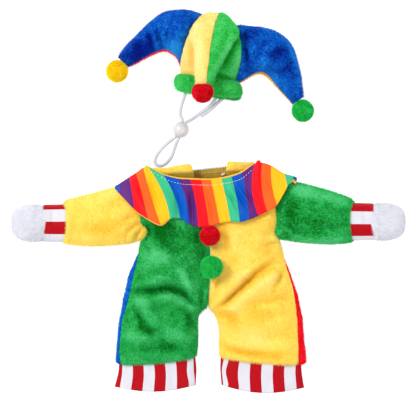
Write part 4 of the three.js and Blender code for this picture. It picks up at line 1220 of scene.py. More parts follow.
def arm_surface(rows, first=1.0, last=1.0, folds=(), ends=3.0, around=None, closed=0, rise=0.0, scoop=0.0):
    """A stretch of arm. first and last are how full it is at its two ends, each of which takes ends
    millimetres to fill. closed is the number of rows of squares of an arm whose ends are closed. rise lifts
    the inner end clear of the suit's back, and scoop sets the upper half of the wrist's mouth back."""
    base, wrist = rows.at("topX", 0), rows.at("topX", 1)
    hand = math.copysign(1, wrist - base)

    def place(u, v):
        spot, shut = v, 1.0
        if closed:
            row = v * closed
            spot = clamp((row - 1) / (closed - 2))
            shut = 0.0 if row < 0.5 or row > closed - 0.5 else 1.0
        top, low = rows.point("top", spot), rows.point("low", spot)
        from_base, from_wrist = abs(top.x - base), abs(wrist - top.x)
        full = mix(first, 1, bulge(from_base, ends)) * mix(last, 1, bulge(from_wrist, ends)) * shut
        angle = around(u) if around else 2 * math.pi * u
        height = rows.at("height", spot)
        point = low.lerp(top, 0.5 + math.cos(angle) / 2 * full)
        point.z = mix(height / 2, soft_oval(angle, height), full)
        # The mouth is scooped out over its last 14 mm, and the first 12 mm lie on the suit's back.
        point.x -= hand * scoop * max(math.sin(angle), 0) * clamp(1 - from_wrist / 14) ** 2
        cushion(point, height, ARM_LUMPS, folds)
        point.z = max(point.z, rise * (1 - swell(from_base - 12, 4)))
        return point

    return place


def mitt_surface(rows, hand):
    """A mitt: a rounded end to the arm, fuller than its cuff, with a stitched ring just past the wrist."""
    top, low = rows.point("top", 1), rows.point("low", 1)
    middle = (top.y + low.y) / 2
    half = (top.y - low.y) / 2 + 0.3
    height = rows.at("height", 1) + 2

    def place(u, v):
        angle = v * math.pi / 2
        along = MITT_LENGTH * math.sin(angle) ** MITT_BLUNT
        shrink = math.cos(angle) ** MITT_BLUNT if v < 0.999 else 0
        ring = MITT_RING_DEEP * bell(along, MITT_RING_AT, MITT_RING_WIDE)
        shrink *= 1 - 0.1 * (1 - bulge(along, 3)) - ring
        turn = 2 * math.pi * u
        tall = height * mix(1, shrink, 0.8)
        # Its seam with the cuff is set back by 3.2 mm on top, as the sleeve's mouth is.
        x = top.x + hand * (SEAM + along - 3.2 * max(math.sin(turn), 0) * clamp(1 - along / 9))
        y = middle + half * shrink * math.cos(turn)
        z = mix(tall / 2, soft_oval(turn, tall), clamp(shrink * 3))
        return Vector((x, y, z + uneven(x, y, MITT_LUMPS) * swell(z, 10) * clamp(shrink)))

    return place


def collar_depth(u):
    """How far the collar reaches from its upper edge to its lower one."""
    return (COLLAR.point("edge", u) - COLLAR.point("neck", u)).length


def collar_at_neck(u):
    """1 where the collar's upper edge is the neckline and 0 where it is folded over a shoulder."""
    row = u * COLLAR.last
    return clamp(2 * min(row - NECKLINE[0], NECKLINE[1] - row))


def collar_point(u, v, below=0.0):
    """A point on the collar: u goes round the neck, a stripe for each row; v from the neckline to the edge.
    The lining is this far below the satin."""
    neck = COLLAR.point("neck", u, COLLAR.at("neckZ", u))
    edge = COLLAR.point("edge", u, COLLAR.at("edgeZ", u))
    row = u * COLLAR.last
    pinch = clamp(1.5 * bell(row, PINCH_ROW, PINCH_WIDE))
    dip = (LINING_DIP if below else SATIN_DIP) * bell(row, DIP_ROW, DIP_WIDE)
    neck += PINCHED * pinch - Vector((0, dip, 0))
    point = neck + (edge - neck) * v
    point.x += COLLAR.at("bend", u) * 4 * v * (1 - v)
    out = v * (edge - neck).length
    at_neck = collar_at_neck(u)
    channel = CHANNEL_DEEP * bell(out, CHANNEL_OUT, CHANNEL_WIDE) * at_neck
    gathers = uneven(row * NECK_STRIPE, 0, COLLAR_GATHERS) * bell(out, GATHERS_OUT, GATHERS_WIDE) * at_neck
    rolled = (1 - at_neck) * ROLLED_DOWN * (1 - bulge(out, ROLLED_WIDE))
    sag = SAG_DEEP * bell(row, SAG_ROW, SAG_WIDE) * bell(out, 0, SAG_LONG)
    point.z += gathers - channel - rolled - sag - 0.5 * math.sin(math.pi * clamp(v)) - below
    creased = (LINING_FOLDS if below else 1) * fall(COLLAR_FOLDS, point.x, point.y)
    point.z += uneven(point.x, point.y, COLLAR_LUMPS) * clamp(v) - creased
    return point


def strip_point(rows, u, v):
    """A point on a strip of cloth whose lower edge hangs 2 mm lower."""
    top, low = (rows.point(name, u, rows.at("z", u)) for name in ("top", "low"))
    return top.lerp(low, v) - UP * 2.0 * v**2


def tab_fold(rows):
    """The folded end of a tab, from over the fold at its top to the fold line, tucked in all round."""

    def place(u, v):
        point = strip_point(rows, u, mix(-0.02, 0.46, v))
        from_end = bulge(min(u, 1 - u) * 34, 4)
        rim = from_end * min(bulge(v * 8, 3), bulge((1 - v) * 8, 2.5))
        point.y -= 3.4 * (1 - from_end) * (1 - v)
        point.z += 3.2 * rim - 1.4 + uneven(point.x, point.y, TAB_LUMPS)
        return point

    return place


# ------------------------------------------------------------------ shapes of the hat


def horn_surface(rows, back=False, folds=()):
    """Half a stuffed horn: from its upper seam, over the front or under the back, to its lower one."""

    def place(u, v):
        top, low = rows.point("top", v), rows.point("low", v)
        height = rows.at("height", v)
        half = (top - low).length / 2
        # The upper seam is just under the edge; the lower one leaves show millimetres of back in sight.
        upper = -0.2
        lower = math.pi - math.acos(clamp(1 - rows.at("show", v) / half, -1, 1))
        angle = mix(upper, lower - 2 * math.pi if back else lower, u)
        point = low.lerp(top, 0.5 + math.cos(angle) / 2)
        point.z = soft_oval(angle, height)
        cushion(point, height, HORN_LUMPS, folds)
        if not back:
            point.z += SEAM
        return point

    return place


def dome_point(rows, u, v):
    """A point on a dome, from its left edge through its seam to its right edge, and from its top down."""
    shares = {"left": (1 - u) * (1 - 2 * u), "seam": 4 * u * (1 - u), "right": u * (2 * u - 1)}
    point = sum((rows.point(name, v) * share for name, share in shares.items()), Vector())
    point.z = mix(rows.at("edgeZ", v), rows.at("crestZ", v), math.sin(math.pi * clamp(u)) ** 0.8)
    return point


def dome_half(side, share):
    """The place on a dome at a share of the way from a side's edge to the seam, and its gap."""
    across = share * (0.5 - SEAM / 100)
    return across if side == "L" else 1 - across


def crown_front(side):
    """A front half of the crown, from its edge to the seam."""

    def place(u, v):
        point = dome_point(CROWN, dome_half(side, u), v)
        point.z += uneven(point.x, point.y, CROWN_LUMPS)
        return point

    return place


def crown_back(side):
    """The crown's back: flat on the ground, turned up over the top of the crown."""

    def place(u, v):
        across = dome_half(side, u)
        head, mouth = dome_point(CROWN, across, 0), dome_point(CROWN, across, 1) + Vector((0, 4, 0))
        flat = head.y - CROWN_ROLL - mouth.y
        along = v * (flat + CROWN_ROLL * math.pi / 2)
        angle = max(along - flat, 0) / CROWN_ROLL
        y = mouth.y + min(along, flat) + CROWN_ROLL * math.sin(angle)
        part = clamp((y - mouth.y) / (head.y - mouth.y))
        return Vector((mix(mouth.x, head.x, part**1.5), y, CROWN_ROLL * (1 - math.cos(angle))))

    return place


def peak_surface(side):
    """Half of the folded front horn: from its seam over to its edge, then rolled under it."""
    # The share of the cloth that is on top, and the angle that the rest turns through under the edge.
    over, rolled = 0.72, math.pi * 0.8

    def place(u, v):
        point = dome_point(PEAK, dome_half(side, 1 - clamp(u / over)), v)
        tall = PEAK.at("crestZ", v) - PEAK.at("edgeZ", v)
        turn = rolled * clamp((u - over) / (1 - over))
        radius = 0.3 * tall
        point.x -= handed(side) * radius * (1 - math.cos(turn))
        point.z -= radius * math.sin(turn) * 1.4
        # The seam lies 1.5 mm deep between its two halves, which swell over 4 mm.
        groove = 1.5 * (1 - swell(abs(point.x - PEAK.at("seamX", v)), 4)) * clamp(v * 4)
        point.z += uneven(point.x, point.y, PEAK_LUMPS) * clamp(v * 4) - (groove if turn == 0 else 0)
        return point

    return place


def brim_surface():
    """The stuffed roll under the head opening, with rounded ends and a seam low on its right half."""
    length = BRIM.at("x", 1) - BRIM.at("x", 0)

    def place(u, v):
        angle = 2 * math.pi * u
        turn = Vector((0, math.cos(angle) * BRIM.at("wide", v), math.sin(angle) * BRIM.at("high", v)))
        full = bulge(min(v, 1 - v) * length, 8)
        middle = Vector((BRIM.at("x", v), BRIM.at("y", v), BRIM.at("z", v)))
        # The seam is a third of the roll's radius deep, and fades in past its middle.
        groove = 0.34 * bell(u, 0.41, 0.02) * clamp((v - 0.52) * 8)
        dents = sum(
            deep * noise.noise(Vector((v * long, u * round_it, seed)))
            for deep, long, round_it, seed in ((0.1, 9, 5, 4.0), (0.05, 22, 11, 5.0))
        )
        return middle + turn * full * (1 - groove + dents)

    return place


# ------------------------------------------------------------------ pieces made in groups


def plush_sheet(piece, slot, colour_name, seed, nodes, flat, held, rests_on=(), area=None, **how):
    """A plush panel: its pile and ground, with the plush's wall."""
    fur = plush(piece, slot, colour_name, seed, *nodes, **how)
    wall(piece, settings()[0].plush_wall)


def plush_stuffed(piece, slot, colour_name, seed, nodes, fill, **how):
    """A stuffed plush piece: closed, so that it needs no wall of its own."""
    plush(piece, slot, colour_name, seed, *nodes, **how)


def pompom(node, slot, colour_name, seed, radius, up=0.0, highest_y=math.inf):
    """A pompom: a dense ball of short fibres, resting on what is under it, and
    flat where it is sewn on at highest_y."""
    low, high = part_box(node)
    centre = Vector(((low.x + high.x) / 2, (low.y + high.y) / 2 + up * MM, high.z - radius * MM))
    # The ball is smaller than the pompom by its pile, and uneven by a twentieth of its radius.
    ball = radius - 1.2
    bm = bmesh.new()
    bmesh.ops.create_icosphere(bm, subdivisions=4, radius=1)
    for vert in bm.verts:
        dents = 1 + 0.05 * noise.noise(vert.co * 2.5 + Vector((seed, 0, 0)))
        vert.co = centre + vert.co * ball * MM * dents
        vert.co.z = max(vert.co.z, low.z + 0.3 * MM)
        vert.co.y = min(vert.co.y, (highest_y + SHIFT.y) * MM)
    bmesh.ops.recalc_face_normals(bm, faces=bm.faces)
    plush_stuffed(
        mesh_object(node + "_ball", bm), slot, colour_name, seed, [node], 0.9,
        comb=(0, 0, 0), length=1.9 * MM, width=0.17 * MM, per_mm2=4.5, locks=0.9, lowest=-0.5,
    )


def thread_row(name, slot, material, line, count, length, thickness, slant=0.0):
    """A row of stitches: short rounded threads laid along line(t), t
    from 0 to 1, a little into the cloth."""
    bm = bmesh.new()
    for i in range(count):
        here = (i + 0.5) / count
        place = line(here)
        along = (line(here + 0.004) - line(here - 0.004)).normalized()
        turn = Quaternion(UP, slant) @ along.to_track_quat("Z", "Y")
        size = Matrix.Diagonal((thickness / 2 * MM, thickness / 2 * MM, length / 2 * MM, 1))
        at = Matrix.Translation((place + SHIFT) * MM) @ turn.to_matrix().to_4x4() @ size
        bmesh.ops.create_uvsphere(bm, u_segments=8, v_segments=6, radius=1, matrix=at)
    return keep(mesh_object(name, bm), slot, material)


def tube_along(name, rows, diameter, steps, sides=12):
    """A round cord along the table's x y z, on or above the ground, with both its ends closed. Its UV runs
    round it and along it."""
    points = [Vector([rows.at(axis, i / steps) for axis in "xyz"]) for i in range(steps + 1)]
    for point in points:
        point.z = max(point.z, diameter / 2)
    frames = []
    across = Vector((1, 0, 0))
    for i in range(steps + 1):
        along = (points[min(i + 1, steps)] - points[max(i - 1, 0)]).normalized()
        across = (across - along * across.dot(along)).normalized()
        frames.append((across.copy(), along.cross(across)))
    down = steps + 2

    def place(u, v):
        row = round(v * down)
        i = min(max(row - 1, 0), steps)
        squeezed = mix(1, SQUEEZED, math.exp(-(((points[i] - BEAD_AT).length / STOP_REACH) ** 4)))
        radius = 0 if row in (0, down) else diameter / 2 * squeezed
        angle = 2 * math.pi * u
        return points[i] + (frames[i][0] * math.cos(angle) + frames[i][1] * math.sin(angle)) * radius

    piece = surface(name, sides, down, place, close=True)
    return piece, [(point + SHIFT) * MM for point in points]


# ------------------------------------------------------------------ what a user would change


def length_property(label, words, size_mm):
    return FloatProperty(name=label, description=words, default=size_mm * MM, unit="LENGTH")


def colour_property(label, words, hex_colour):
    return FloatVectorProperty(
        name=label, description=words, default=linear(hex_colour), size=3, min=0, max=1, subtype="COLOR"
    )


class ClownSizes(bpy.types.PropertyGroup):
    """Sizes of the cloth, its pile and the trimmings"""

    plush_wall: length_property("Plush wall", "Thickness of the plush's ground", 2.5)
    satin_wall: length_property("Satin wall", "Thickness of a satin layer", 1.2)
    pile_length: length_property("Pile length", "Length of the plush's fibres", 2.1)
    pile_width: length_property("Fibre radius", "Radius of a lock of fibres at its root", 0.15)
    pile_density: FloatProperty(
        name="Pile density", description="Locks of fibres on each square millimetre", default=1.6
    )
    cord_diameter: length_property("Elastic", "Diameter of the round elastic", 3.8)
    bead_diameter: length_property("Cord stop", "Diameter of the ball on the elastic", 17.6)
    bead_bore: length_property("Bore", "Diameter of the hole through the ball", 6.8)
    collar_stripes: IntProperty(name="Collar stripes", description="Stripes across the collar", default=19)
    hem_stripes: FloatProperty(name="Hem stripes", description="Stripes round each hem", default=14.8)
    cuff_stripes: IntProperty(name="Cuff stripes", description="Stripes round each wrist cuff", default=8)


class ClownColours(bpy.types.PropertyGroup):
    """Colours of the cloth and the trimmings"""

    green: colour_property("Green plush", "Green halves of the suit and the crown", "#1E9F44")
    yellow: colour_property("Yellow plush", "Yellow halves of the suit", "#FFD555")
    pale_yellow: colour_property("Hat's yellow plush", "Yellow half of the crown", "#FFD97A")
    hat_green: colour_property("Hat's green plush", "Green half of the crown, and the brim", "#30BB4C")
    blue: colour_property("Blue plush", "Horns and the left side of the suit", "#0251B9")
    red: colour_property("Red plush", "The right side of the suit and a horn's back", "#F00618")
    gold: colour_property("Golden plush", "Back of the right horn", "#F5A01C")
    white: colour_property("White plush", "Mitts", "#D5D5DF")
    pompom_red: colour_property("Red pompom", "The chest's and the front horn's", "#DC0414")
    pompom_yellow: colour_property("Yellow pompom", "The left horn's", "#FFCB0E")
    pompom_green: colour_property("Green pompom", "The chest's and the right horn's", "#18B543")
    stripe_red: colour_property("Red stripe", "Hems and cuffs", "#A80010")
    stripe_white: colour_property("White stripe", "Hems and cuffs", "#CECCD5")
    rainbow_red: colour_property("Rainbow red", "Collar stripe", "#F2111D")
    rainbow_orange: colour_property("Rainbow orange", "Collar stripe", "#F95D1E")
    rainbow_yellow: colour_property("Rainbow yellow", "Collar stripe", "#FDB419")
    rainbow_teal: colour_property("Rainbow teal", "Collar stripe", "#37B27F")
    rainbow_blue: colour_property("Rainbow blue", "Collar stripe", "#004FB1")
    rainbow_purple: colour_property("Rainbow purple", "Collar stripe", "#5A2472")
    lining: colour_property("Collar lining", "Yellow under the collar", "#FFBD39")
    neck_lining: colour_property("Neck lining", "Wrong side of the cloth at the neck", "#BD9811")
    overlock: colour_property("Overlock thread", "Light blue thread along the neck's edge", "#7EB8DA")
    thread: colour_property("Topstitching", "White thread on the collar", "#F4DAD8")
    elastic: colour_property("Elastic", "Round white elastic", "#C8C8D2")
    bead: colour_property("Cord stop", "White ball on the elastic", "#CAC7C8")


# ------------------------------------------------------------------ operators, one for each group of pieces


class COSTUME_OT_stage(bpy.types.Operator):
    """Lays the pale floor, hangs the soft lights and sets the camera above the costume"""

    bl_idname = "costume.stage"
    bl_label = "Stage"

    # Each lamp's place and size in metres, and its watts.
    LAMPS = {"key": ((-2.8, 1.7, 3.9), 1.6, 185), "fill": ((3.6, -1.8, 4.8), 3.0, 99)}
    SKY = 0.77
    # The camera looks straight down at this spot with a long lens, and
    # its picture is this wide at this height.
    LOOKS_AT = Vector((0.5, -11.3, 0))
    PICTURE_WIDE = 436.8
    PICTURE_HIGH_UP = 18

    def execute(self, context):
        bm = bmesh.new()
        bmesh.ops.create_grid(bm, x_segments=8, y_segments=8, size=4)
        bmesh.ops.translate(bm, verts=bm.verts, vec=(0, 0, -0.3 * MM))
        floor = mesh_object("studio_floor", bm)
        floor.data.materials.append(light_table("white opal acrylic", linear("#C0C0C2"), 0.8))

        world = bpy.data.worlds.new("soft studio")
        world.use_nodes = True
        sky = world.node_tree.nodes["Background"]
        sky.inputs["Color"].default_value = (*linear("#FFFFFF"), 1)
        sky.inputs["Strength"].default_value = self.SKY
        context.scene.world = world
        for label, (place, size, watts) in self.LAMPS.items():
            lamp = bpy.data.lights.new(label, "AREA")
            lamp.size = size
            lamp.energy = watts
            holder = linked(label, lamp)
            holder.location = place
            holder.rotation_euler = (-Vector(place)).to_track_quat("-Z", "Y").to_euler()

        lens = bpy.data.cameras.new("camera")
        lens.lens = 250
        lens.sensor_width = 36
        camera = linked("camera", lens)
        camera.location = (self.LOOKS_AT + SHIFT) * MM
        camera.location.z = (lens.lens / lens.sensor_width * self.PICTURE_WIDE + self.PICTURE_HIGH_UP) * MM
        context.scene.camera = camera
        context.scene.view_settings.view_transform = "Standard"
        return {"FINISHED"}


class COSTUME_OT_chin_cord(bpy.types.Operator):
    """Makes the elastic chin cord, its second strand and the ball that slides on it"""

    bl_idname = "costume.chin_cord"
    bl_label = "Chin cord and stop"

    def execute(self, context):
        sizes, colours = settings()
        elastic = braided_elastic("white braided elastic", tuple(colours.elastic))
        abs_white = moulded_plastic("white moulded ABS", tuple(colours.bead))
        thick = sizes.cord_diameter / MM
        cord, path = tube_along("chin_cord_elastic", Table("x y z", *CORD_PATH), thick, 300)
        tail, tail_path = tube_along("chin_cord_tail_elastic", Table("x y z", *TAIL_PATH), thick, 48)
        keep(cord, "white_elastic", elastic, "chin_cord")
        keep(tail, "white_elastic", elastic, "chin_cord_tail")

        # The ball: its half outline, from one mouth of the bore to the other, spun round the bore.
        radius, bore = sizes.bead_diameter / 2, sizes.bead_bore / 2
        mouth = math.asin(bore / radius)
        angles = (mix(mouth, math.pi - mouth, i / 30) for i in range(31))
        outline = [Vector((radius * math.sin(angle), radius * math.cos(angle), 0)) for angle in angles]
        outline += [Vector((bore, mix(outline[-1].y, outline[0].y, i / 6), 0)) for i in range(1, 6)]
        bm = bmesh.new()
        verts = [bm.verts.new(point) for point in outline]
        edges = [bm.edges.new(pair) for pair in zip(verts, verts[1:] + verts[:1])]
        bmesh.ops.spin(
            bm, geom=verts + edges, cent=(0, 0, 0), axis=(0, 1, 0),
            angle=2 * math.pi, steps=48, use_merge=True,
        )
        bmesh.ops.remove_doubles(bm, verts=bm.verts, dist=0.01 * MM)
        bmesh.ops.recalc_face_normals(bm, faces=bm.faces)
        bmesh.ops.rotate(bm, verts=bm.verts, cent=(0, 0, 0), matrix=Matrix.Rotation(BEAD_LEAN, 3, "Z"))
        bmesh.ops.translate(bm, verts=bm.verts, vec=(BEAD_AT + SHIFT) * MM)
        ball = keep(mesh_object("cord_stop", bm), "white_bead", abs_white, "bead")

        return {"FINISHED"}


class COSTUME_OT_fronts(bpy.types.Operator):
    """Makes the two front panels of the suit"""

    bl_idname = "costume.fronts"
    bl_label = "Fronts"

    def execute(self, context):
        for side, colour, node, folds, shade_strokes, seed in (
            ("L", "green", "front_green", GREEN_FOLDS, GREEN_SHADE_STROKES, 11),
            ("R", "yellow", "front_yellow", YELLOW_FOLDS, YELLOW_SHADE_STROKES, 12),
        ):
            piece = surface(
                node + "_panel", 64, 128, front_surface(side, folds), folds=folds, shade_strokes=shade_strokes,
                covered=lambda spot: spot.y > -3,
            )
            plush_sheet(piece, colour + "_plush", colour, seed, [node], (0.112, 0.2), "laid", area=0.018)
        return {"FINISHED"}


class COSTUME_OT_backs(bpy.types.Operator):
    """Makes the two back panels, which turn up round the sides"""

    bl_idname = "costume.backs"
    bl_label = "Backs"

    def execute(self, context):
        for side, colour, node, seed in (("L", "blue", "back_blue", 21), ("R", "red", "back_red", 22)):
            piece = surface(node + "_panel", 36, 64, back_surface(side), facing=DOWN)
            plush_sheet(piece, colour + "_plush", colour, seed, [node], (0.12, 0.2), "laid", area=0.018)
        return {"FINISHED"}


class COSTUME_OT_hems(bpy.types.Operator):
    """Makes the striped hems round the leg openings"""

    bl_idname = "costume.hems"
    bl_label = "Hems"

    def execute(self, context):
        sizes, colours = settings()
        stripes = (tuple(colours.stripe_white), tuple(colours.stripe_red))
        # border is how far in from the left a stripe starts, which is
        # white where first is 0 and red at 0.5.
        for node, rows, hand, border, first, twist in (
            ("hem_left", HEM_LEFT, -1, 5.6, 0, 0.015),
            ("hem_right", HEM_RIGHT, 1, 6, 0.5, -0.0135),
        ):
            shape, share_at, wide = hem_surface(rows, hand, twist)
            phase = first - share_at(border) * sizes.hem_stripes / 2
            # The seam is near the inner edge, and the stripe beside it, round the edge, is a whole red one.
            seam = share_at(wide - HEM_SEAM_IN if hand < 0 else HEM_SEAM_IN)
            reached = (seam * sizes.hem_stripes / 2 + phase) % 1
            shift = 0.5 - reached
            if hand > 0:
                phase, shift = phase - reached, reached
            satin = striped_satin(
                "red and white striped satin, " + node, stripes, sizes.hem_stripes, phase, (seam, shift)
            )
            piece = surface(node + "_satin", 148, 14, shape, close=True)
            keep(piece, "striped_satin", satin, node)
            wall(piece, 2 * sizes.satin_wall)
        return {"FINISHED"}


class COSTUME_OT_sleeves(bpy.types.Operator):
    """Makes the two stuffed sleeves"""

    bl_idname = "costume.sleeves"
    bl_label = "Sleeves"

    def execute(self, context):
        left, right = (
            surface(
                name, 80, 48, arm_surface(rows, 0.6, 0.86, folds, 5, closed=48, rise=3.4, scoop=5),
                close=True, folds=folds, shade_strokes=shade_strokes,
                covered=lambda spot: abs(spot.x) < 64 or abs(spot.x) < 76 and spot.y > 0,
            )
            for name, rows, folds, shade_strokes in (
                ("sleeve_yellow_arm", SLEEVE_LEFT, SLEEVE_LEFT_FOLDS, SLEEVE_LEFT_SHADE_STROKES),
                ("sleeve_green_arm", SLEEVE_RIGHT, SLEEVE_RIGHT_FOLDS, SLEEVE_RIGHT_SHADE_STROKES),
            )
        )
        plush_stuffed(left, "yellow_plush", "yellow", 31, ["sleeve_yellow"], 0.6, comb=(-0.9, -0.2, 0))
        plush_stuffed(right, "green_plush", "green", 32, ["sleeve_green"], 0.6, comb=(0.9, -0.2, 0))
        return {"FINISHED"}


class COSTUME_OT_wrist_cuffs(bpy.types.Operator):
    """Makes the striped satin cuffs at the wrists"""

    bl_idname = "costume.wrist_cuffs"
    bl_label = "Wrist cuffs"

    def execute(self, context):
        sizes, colours = settings()
        stripes = (tuple(colours.stripe_white), tuple(colours.stripe_red))
        satin = striped_satin("red and white striped satin, cuffs", stripes, sizes.cuff_stripes)
        # bend is the x of a cuff's crease, and border the angle at which a white stripe starts.
        for node, rows, bend, border in (
            ("wrist_cuff_left", CUFF_LEFT, -163, 43),
            ("wrist_cuff_right", CUFF_RIGHT, 164, 57),
        ):
            half = (rows.at("topY", 0.5) - rows.at("lowY", 0.5)) / 2
            angle_at, _ = evenly(half, rows.at("height", 0.5), math.radians(border))
            crease = (Fold((bend, -12), (bend + 0.8, -26), (bend - 0.6, -44), 1.6, 1.4),)
            shape = arm_surface(rows, folds=crease, around=angle_at)
            piece = surface(node + "_satin", 80, 16, shape, close=True)
            keep(piece, "striped_satin", satin, node)
            wall(piece, sizes.satin_wall)
        return {"FINISHED"}


class COSTUME_OT_mitts(bpy.types.Operator):
    """Makes the two white mitts"""

    bl_idname = "costume.mitts"
    bl_label = "Mitts"

    def execute(self, context):
        for node, rows, hand, seed in (("mitt_left", CUFF_LEFT, -1, 41), ("mitt_right", CUFF_RIGHT, 1, 42)):
            piece = surface(node + "_hand", 64, 40, mitt_surface(rows, hand), close=True)
            plush_stuffed(
                piece, "white_plush", "white", seed, [node], 0.8, comb=(0.8 * hand, 0, 0), length=2.0 * MM
            )
        return {"FINISHED"}


class COSTUME_OT_collar(bpy.types.Operator):
    """Makes the rainbow collar, its lining and the topstitching round the neck"""

    bl_idname = "costume.collar"
    bl_label = "Collar"

    def execute(self, context):
        sizes, colours = settings()
        names = ("blue", "purple", "red", "orange", "yellow", "teal")
        rainbow = [tuple(getattr(colours, "rainbow_" + name)) for name in names]
        printed = striped_satin("rainbow striped satin", rainbow, sizes.collar_stripes)
        yellow = plain_cloth("yellow polyester lining", tuple(colours.lining))
        thread = plain_cloth("white polyester thread", tuple(colours.thread), 0.85, 0.3)
        layer = sizes.satin_wall / MM + SEAM

        def under(u, v):
            # The lining ends short of the satin in the middle, and past
            # it at both ends and along the neckline.
            row = u * COLLAR.last
            to_edge = mix(0.975, 1.025, clamp(max(5.6 - row, row - 16.5)))
            to_edge += 3.6 / collar_depth(u) * clamp(2 * row - 34.6)
            return collar_point(u, mix(mix(0.03, -0.032, collar_at_neck(u)), to_edge, v), layer)

        def channel(t):
            u = mix(4.9, 13.9, t) / COLLAR.last
            return collar_point(u, CHANNEL_OUT / collar_depth(u)) + UP * 0.15

        satin = surface("collar_satin_ruffle", 228, 30, collar_point)
        keep(satin, "rainbow_satin", printed, "collar_satin")
        lining = surface("collar_lining_ruffle", 114, 14, under)
        keep(lining, "yellow_lining", yellow, "collar_lining")
        for layered in (satin, lining):
            wall(layered, sizes.satin_wall)
        stitches = thread_row("collar_topstitching", "rainbow_satin", thread, channel, 40, 1.7, 0.6)
        return {"FINISHED"}


class COSTUME_OT_neck(bpy.types.Operator):
    """Makes the folded closure tabs, the back of the neck between them and its overlocked edge"""

    bl_idname = "costume.neck"
    bl_label = "Neck"

    def execute(self, context):
        sizes, colours = settings()
        # Painted shade darkens it towards its inner edge, deep in the neck.
        wrong_side = plain_cloth(
            "brushed back of yellow plush", tuple(colours.neck_lining), 0.66, 0.8, 0.9, shaded_inside=0.5
        )
        blue_thread = plain_cloth("light blue overlock thread", tuple(colours.overlock), 0.8, 0.3)
        white_thread = plain_cloth("white polyester thread", tuple(colours.thread), 0.85, 0.3)
        tape = plain_cloth("white woven tape", tuple(colours.thread), 0.95, 0.4)
        for node, rows, seed, flat, under_flat in (
            ("tab_left", TAB_LEFT, 51, (0.046, 0.0105), (0.046, 0.014)),
            ("tab_right", TAB_RIGHT, 52, (0.031, 0.012), (0.031, 0.0165)),
        ):
            piece = surface(node + "_fold", 48, 20, tab_fold(rows))
            plush_sheet(
                piece, "yellow_plush", "yellow", seed, [node], flat, "folded", length=1.6 * MM, per_mm2=2.6
            )
            lower = surface(
                node + "_under_fold", 40, 12, lambda u, v: strip_point(rows, u, mix(0.3, 1.05, v)) - UP * 0.6
            )
            keep(lower, "yellow_lining", wrong_side)
            wall(lower, sizes.plush_wall)

        back = surface("neck_back_panel", 36, 16, lambda u, v: strip_point(NECK_BACK, u, v))
        keep(back, "yellow_lining", wrong_side, "neck_back")
        wall(back, sizes.plush_wall)
        overlock = thread_row(
            "neck_back_overlock", "yellow_lining", blue_thread,
            lambda t: strip_point(NECK_BACK, mix(0.12, 0.9, t), -0.03) + UP * 0.5, 14, 3.2, 1.1, slant=0.5,
        )
        stitches = thread_row(
            "neck_back_stitching", "yellow_lining", white_thread,
            lambda t: Vector((mix(-9, 19, t), mix(25, 27.4, t), 8)), 12, 1.5, 0.6,
        )
        bm = bmesh.new()
        bmesh.ops.create_cube(bm, size=1)
        bmesh.ops.scale(bm, verts=bm.verts, vec=Vector((4.2, 2.2, 0.5)) * MM)
        bmesh.ops.rotate(bm, verts=bm.verts, cent=(0, 0, 0), matrix=Matrix.Rotation(0.45, 3, "Z"))
        bmesh.ops.translate(bm, verts=bm.verts, vec=(Vector((16.6, 24.2, 8.4)) + SHIFT) * MM)
        label = keep(mesh_object("neck_label", bm), "yellow_lining", tape)
        return {"FINISHED"}


class COSTUME_OT_chest_pompoms(bpy.types.Operator):
    """Makes the two pompoms on the chest"""

    bl_idname = "costume.chest_pompoms"
    bl_label = "Chest pompoms"

    def execute(self, context):
        pompom("pompom_chest_red", "red_pompom", "pompom_red", 61, 10.6, 1.6)
        pompom("pompom_chest_green", "green_pompom", "pompom_green", 62, 12)
        return {"FINISHED"}


class COSTUME_OT_horns(bpy.types.Operator):
    """Makes the two side horns of the hat, each a blue front and a coloured back"""

    bl_idname = "costume.horns"
    bl_label = "Horns"

    def execute(self, context):
        for node, rows, hand, folds, shade_strokes, back, slot, seed, flat, areas in (
            (
                "horn_left", HORN_LEFT, -1, LEFT_HORN_FOLDS, LEFT_HORN_SHADE_STROKES,
                "red", "red_plush", 71, (0.11, 0.06), (0.0051, 0.0049),
            ),
            (
                "horn_right", HORN_RIGHT, 1, RIGHT_HORN_FOLDS, RIGHT_HORN_SHADE_STROKES,
                "gold", "yellow_plush", 73, (0.12, 0.065), (0.006, 0.0057),
            ),
        ):
            shape = horn_surface(rows, False, folds)
            front = surface(node + "_front_panel", 56, 64, shape, folds=folds, shade_strokes=shade_strokes)
            plush_sheet(
                front, "blue_plush", "blue", seed, [node + "_front"], flat, "stretched",
                area=areas[0], comb=(0.4 * hand, -0.4, 0),
            )
            under = surface(node + "_back_panel", 40, 48, horn_surface(rows, True), facing=DOWN)
            plush_sheet(under, slot, back, seed + 1, [node + "_back"], flat, "stretched", area=areas[1])
        return {"FINISHED"}


class COSTUME_OT_crown(bpy.types.Operator):
    """Makes the crown of the hat from its two front and two back halves"""

    bl_idname = "costume.crown"
    bl_label = "Crown"

    def execute(self, context):
        for side, node, colour, slot, seed in (
            ("L", "crown_yellow", "pale_yellow", "yellow_plush", 81),
            ("R", "crown_green", "hat_green", "green_plush", 82),
        ):
            front = surface(node + "_panel", 36, 52, crown_front(side), shade_strokes=CROWN_SHADE_STROKES)
            plush_sheet(front, slot, colour, seed, [node], (0.04, 0.09), "stretched", area=0.0024)
        for side, node, colour, slot, seed in (
            ("L", "crown_back_red", "red", "red_plush", 83),
            ("R", "crown_back_yellow", "gold", "yellow_plush", 84),
        ):
            back = surface(node + "_panel", 20, 36, crown_back(side), facing=DOWN)
            plush_sheet(back, slot, colour, seed, [node], (0.035, 0.08), "laid", area=0.0016)
        return {"FINISHED"}


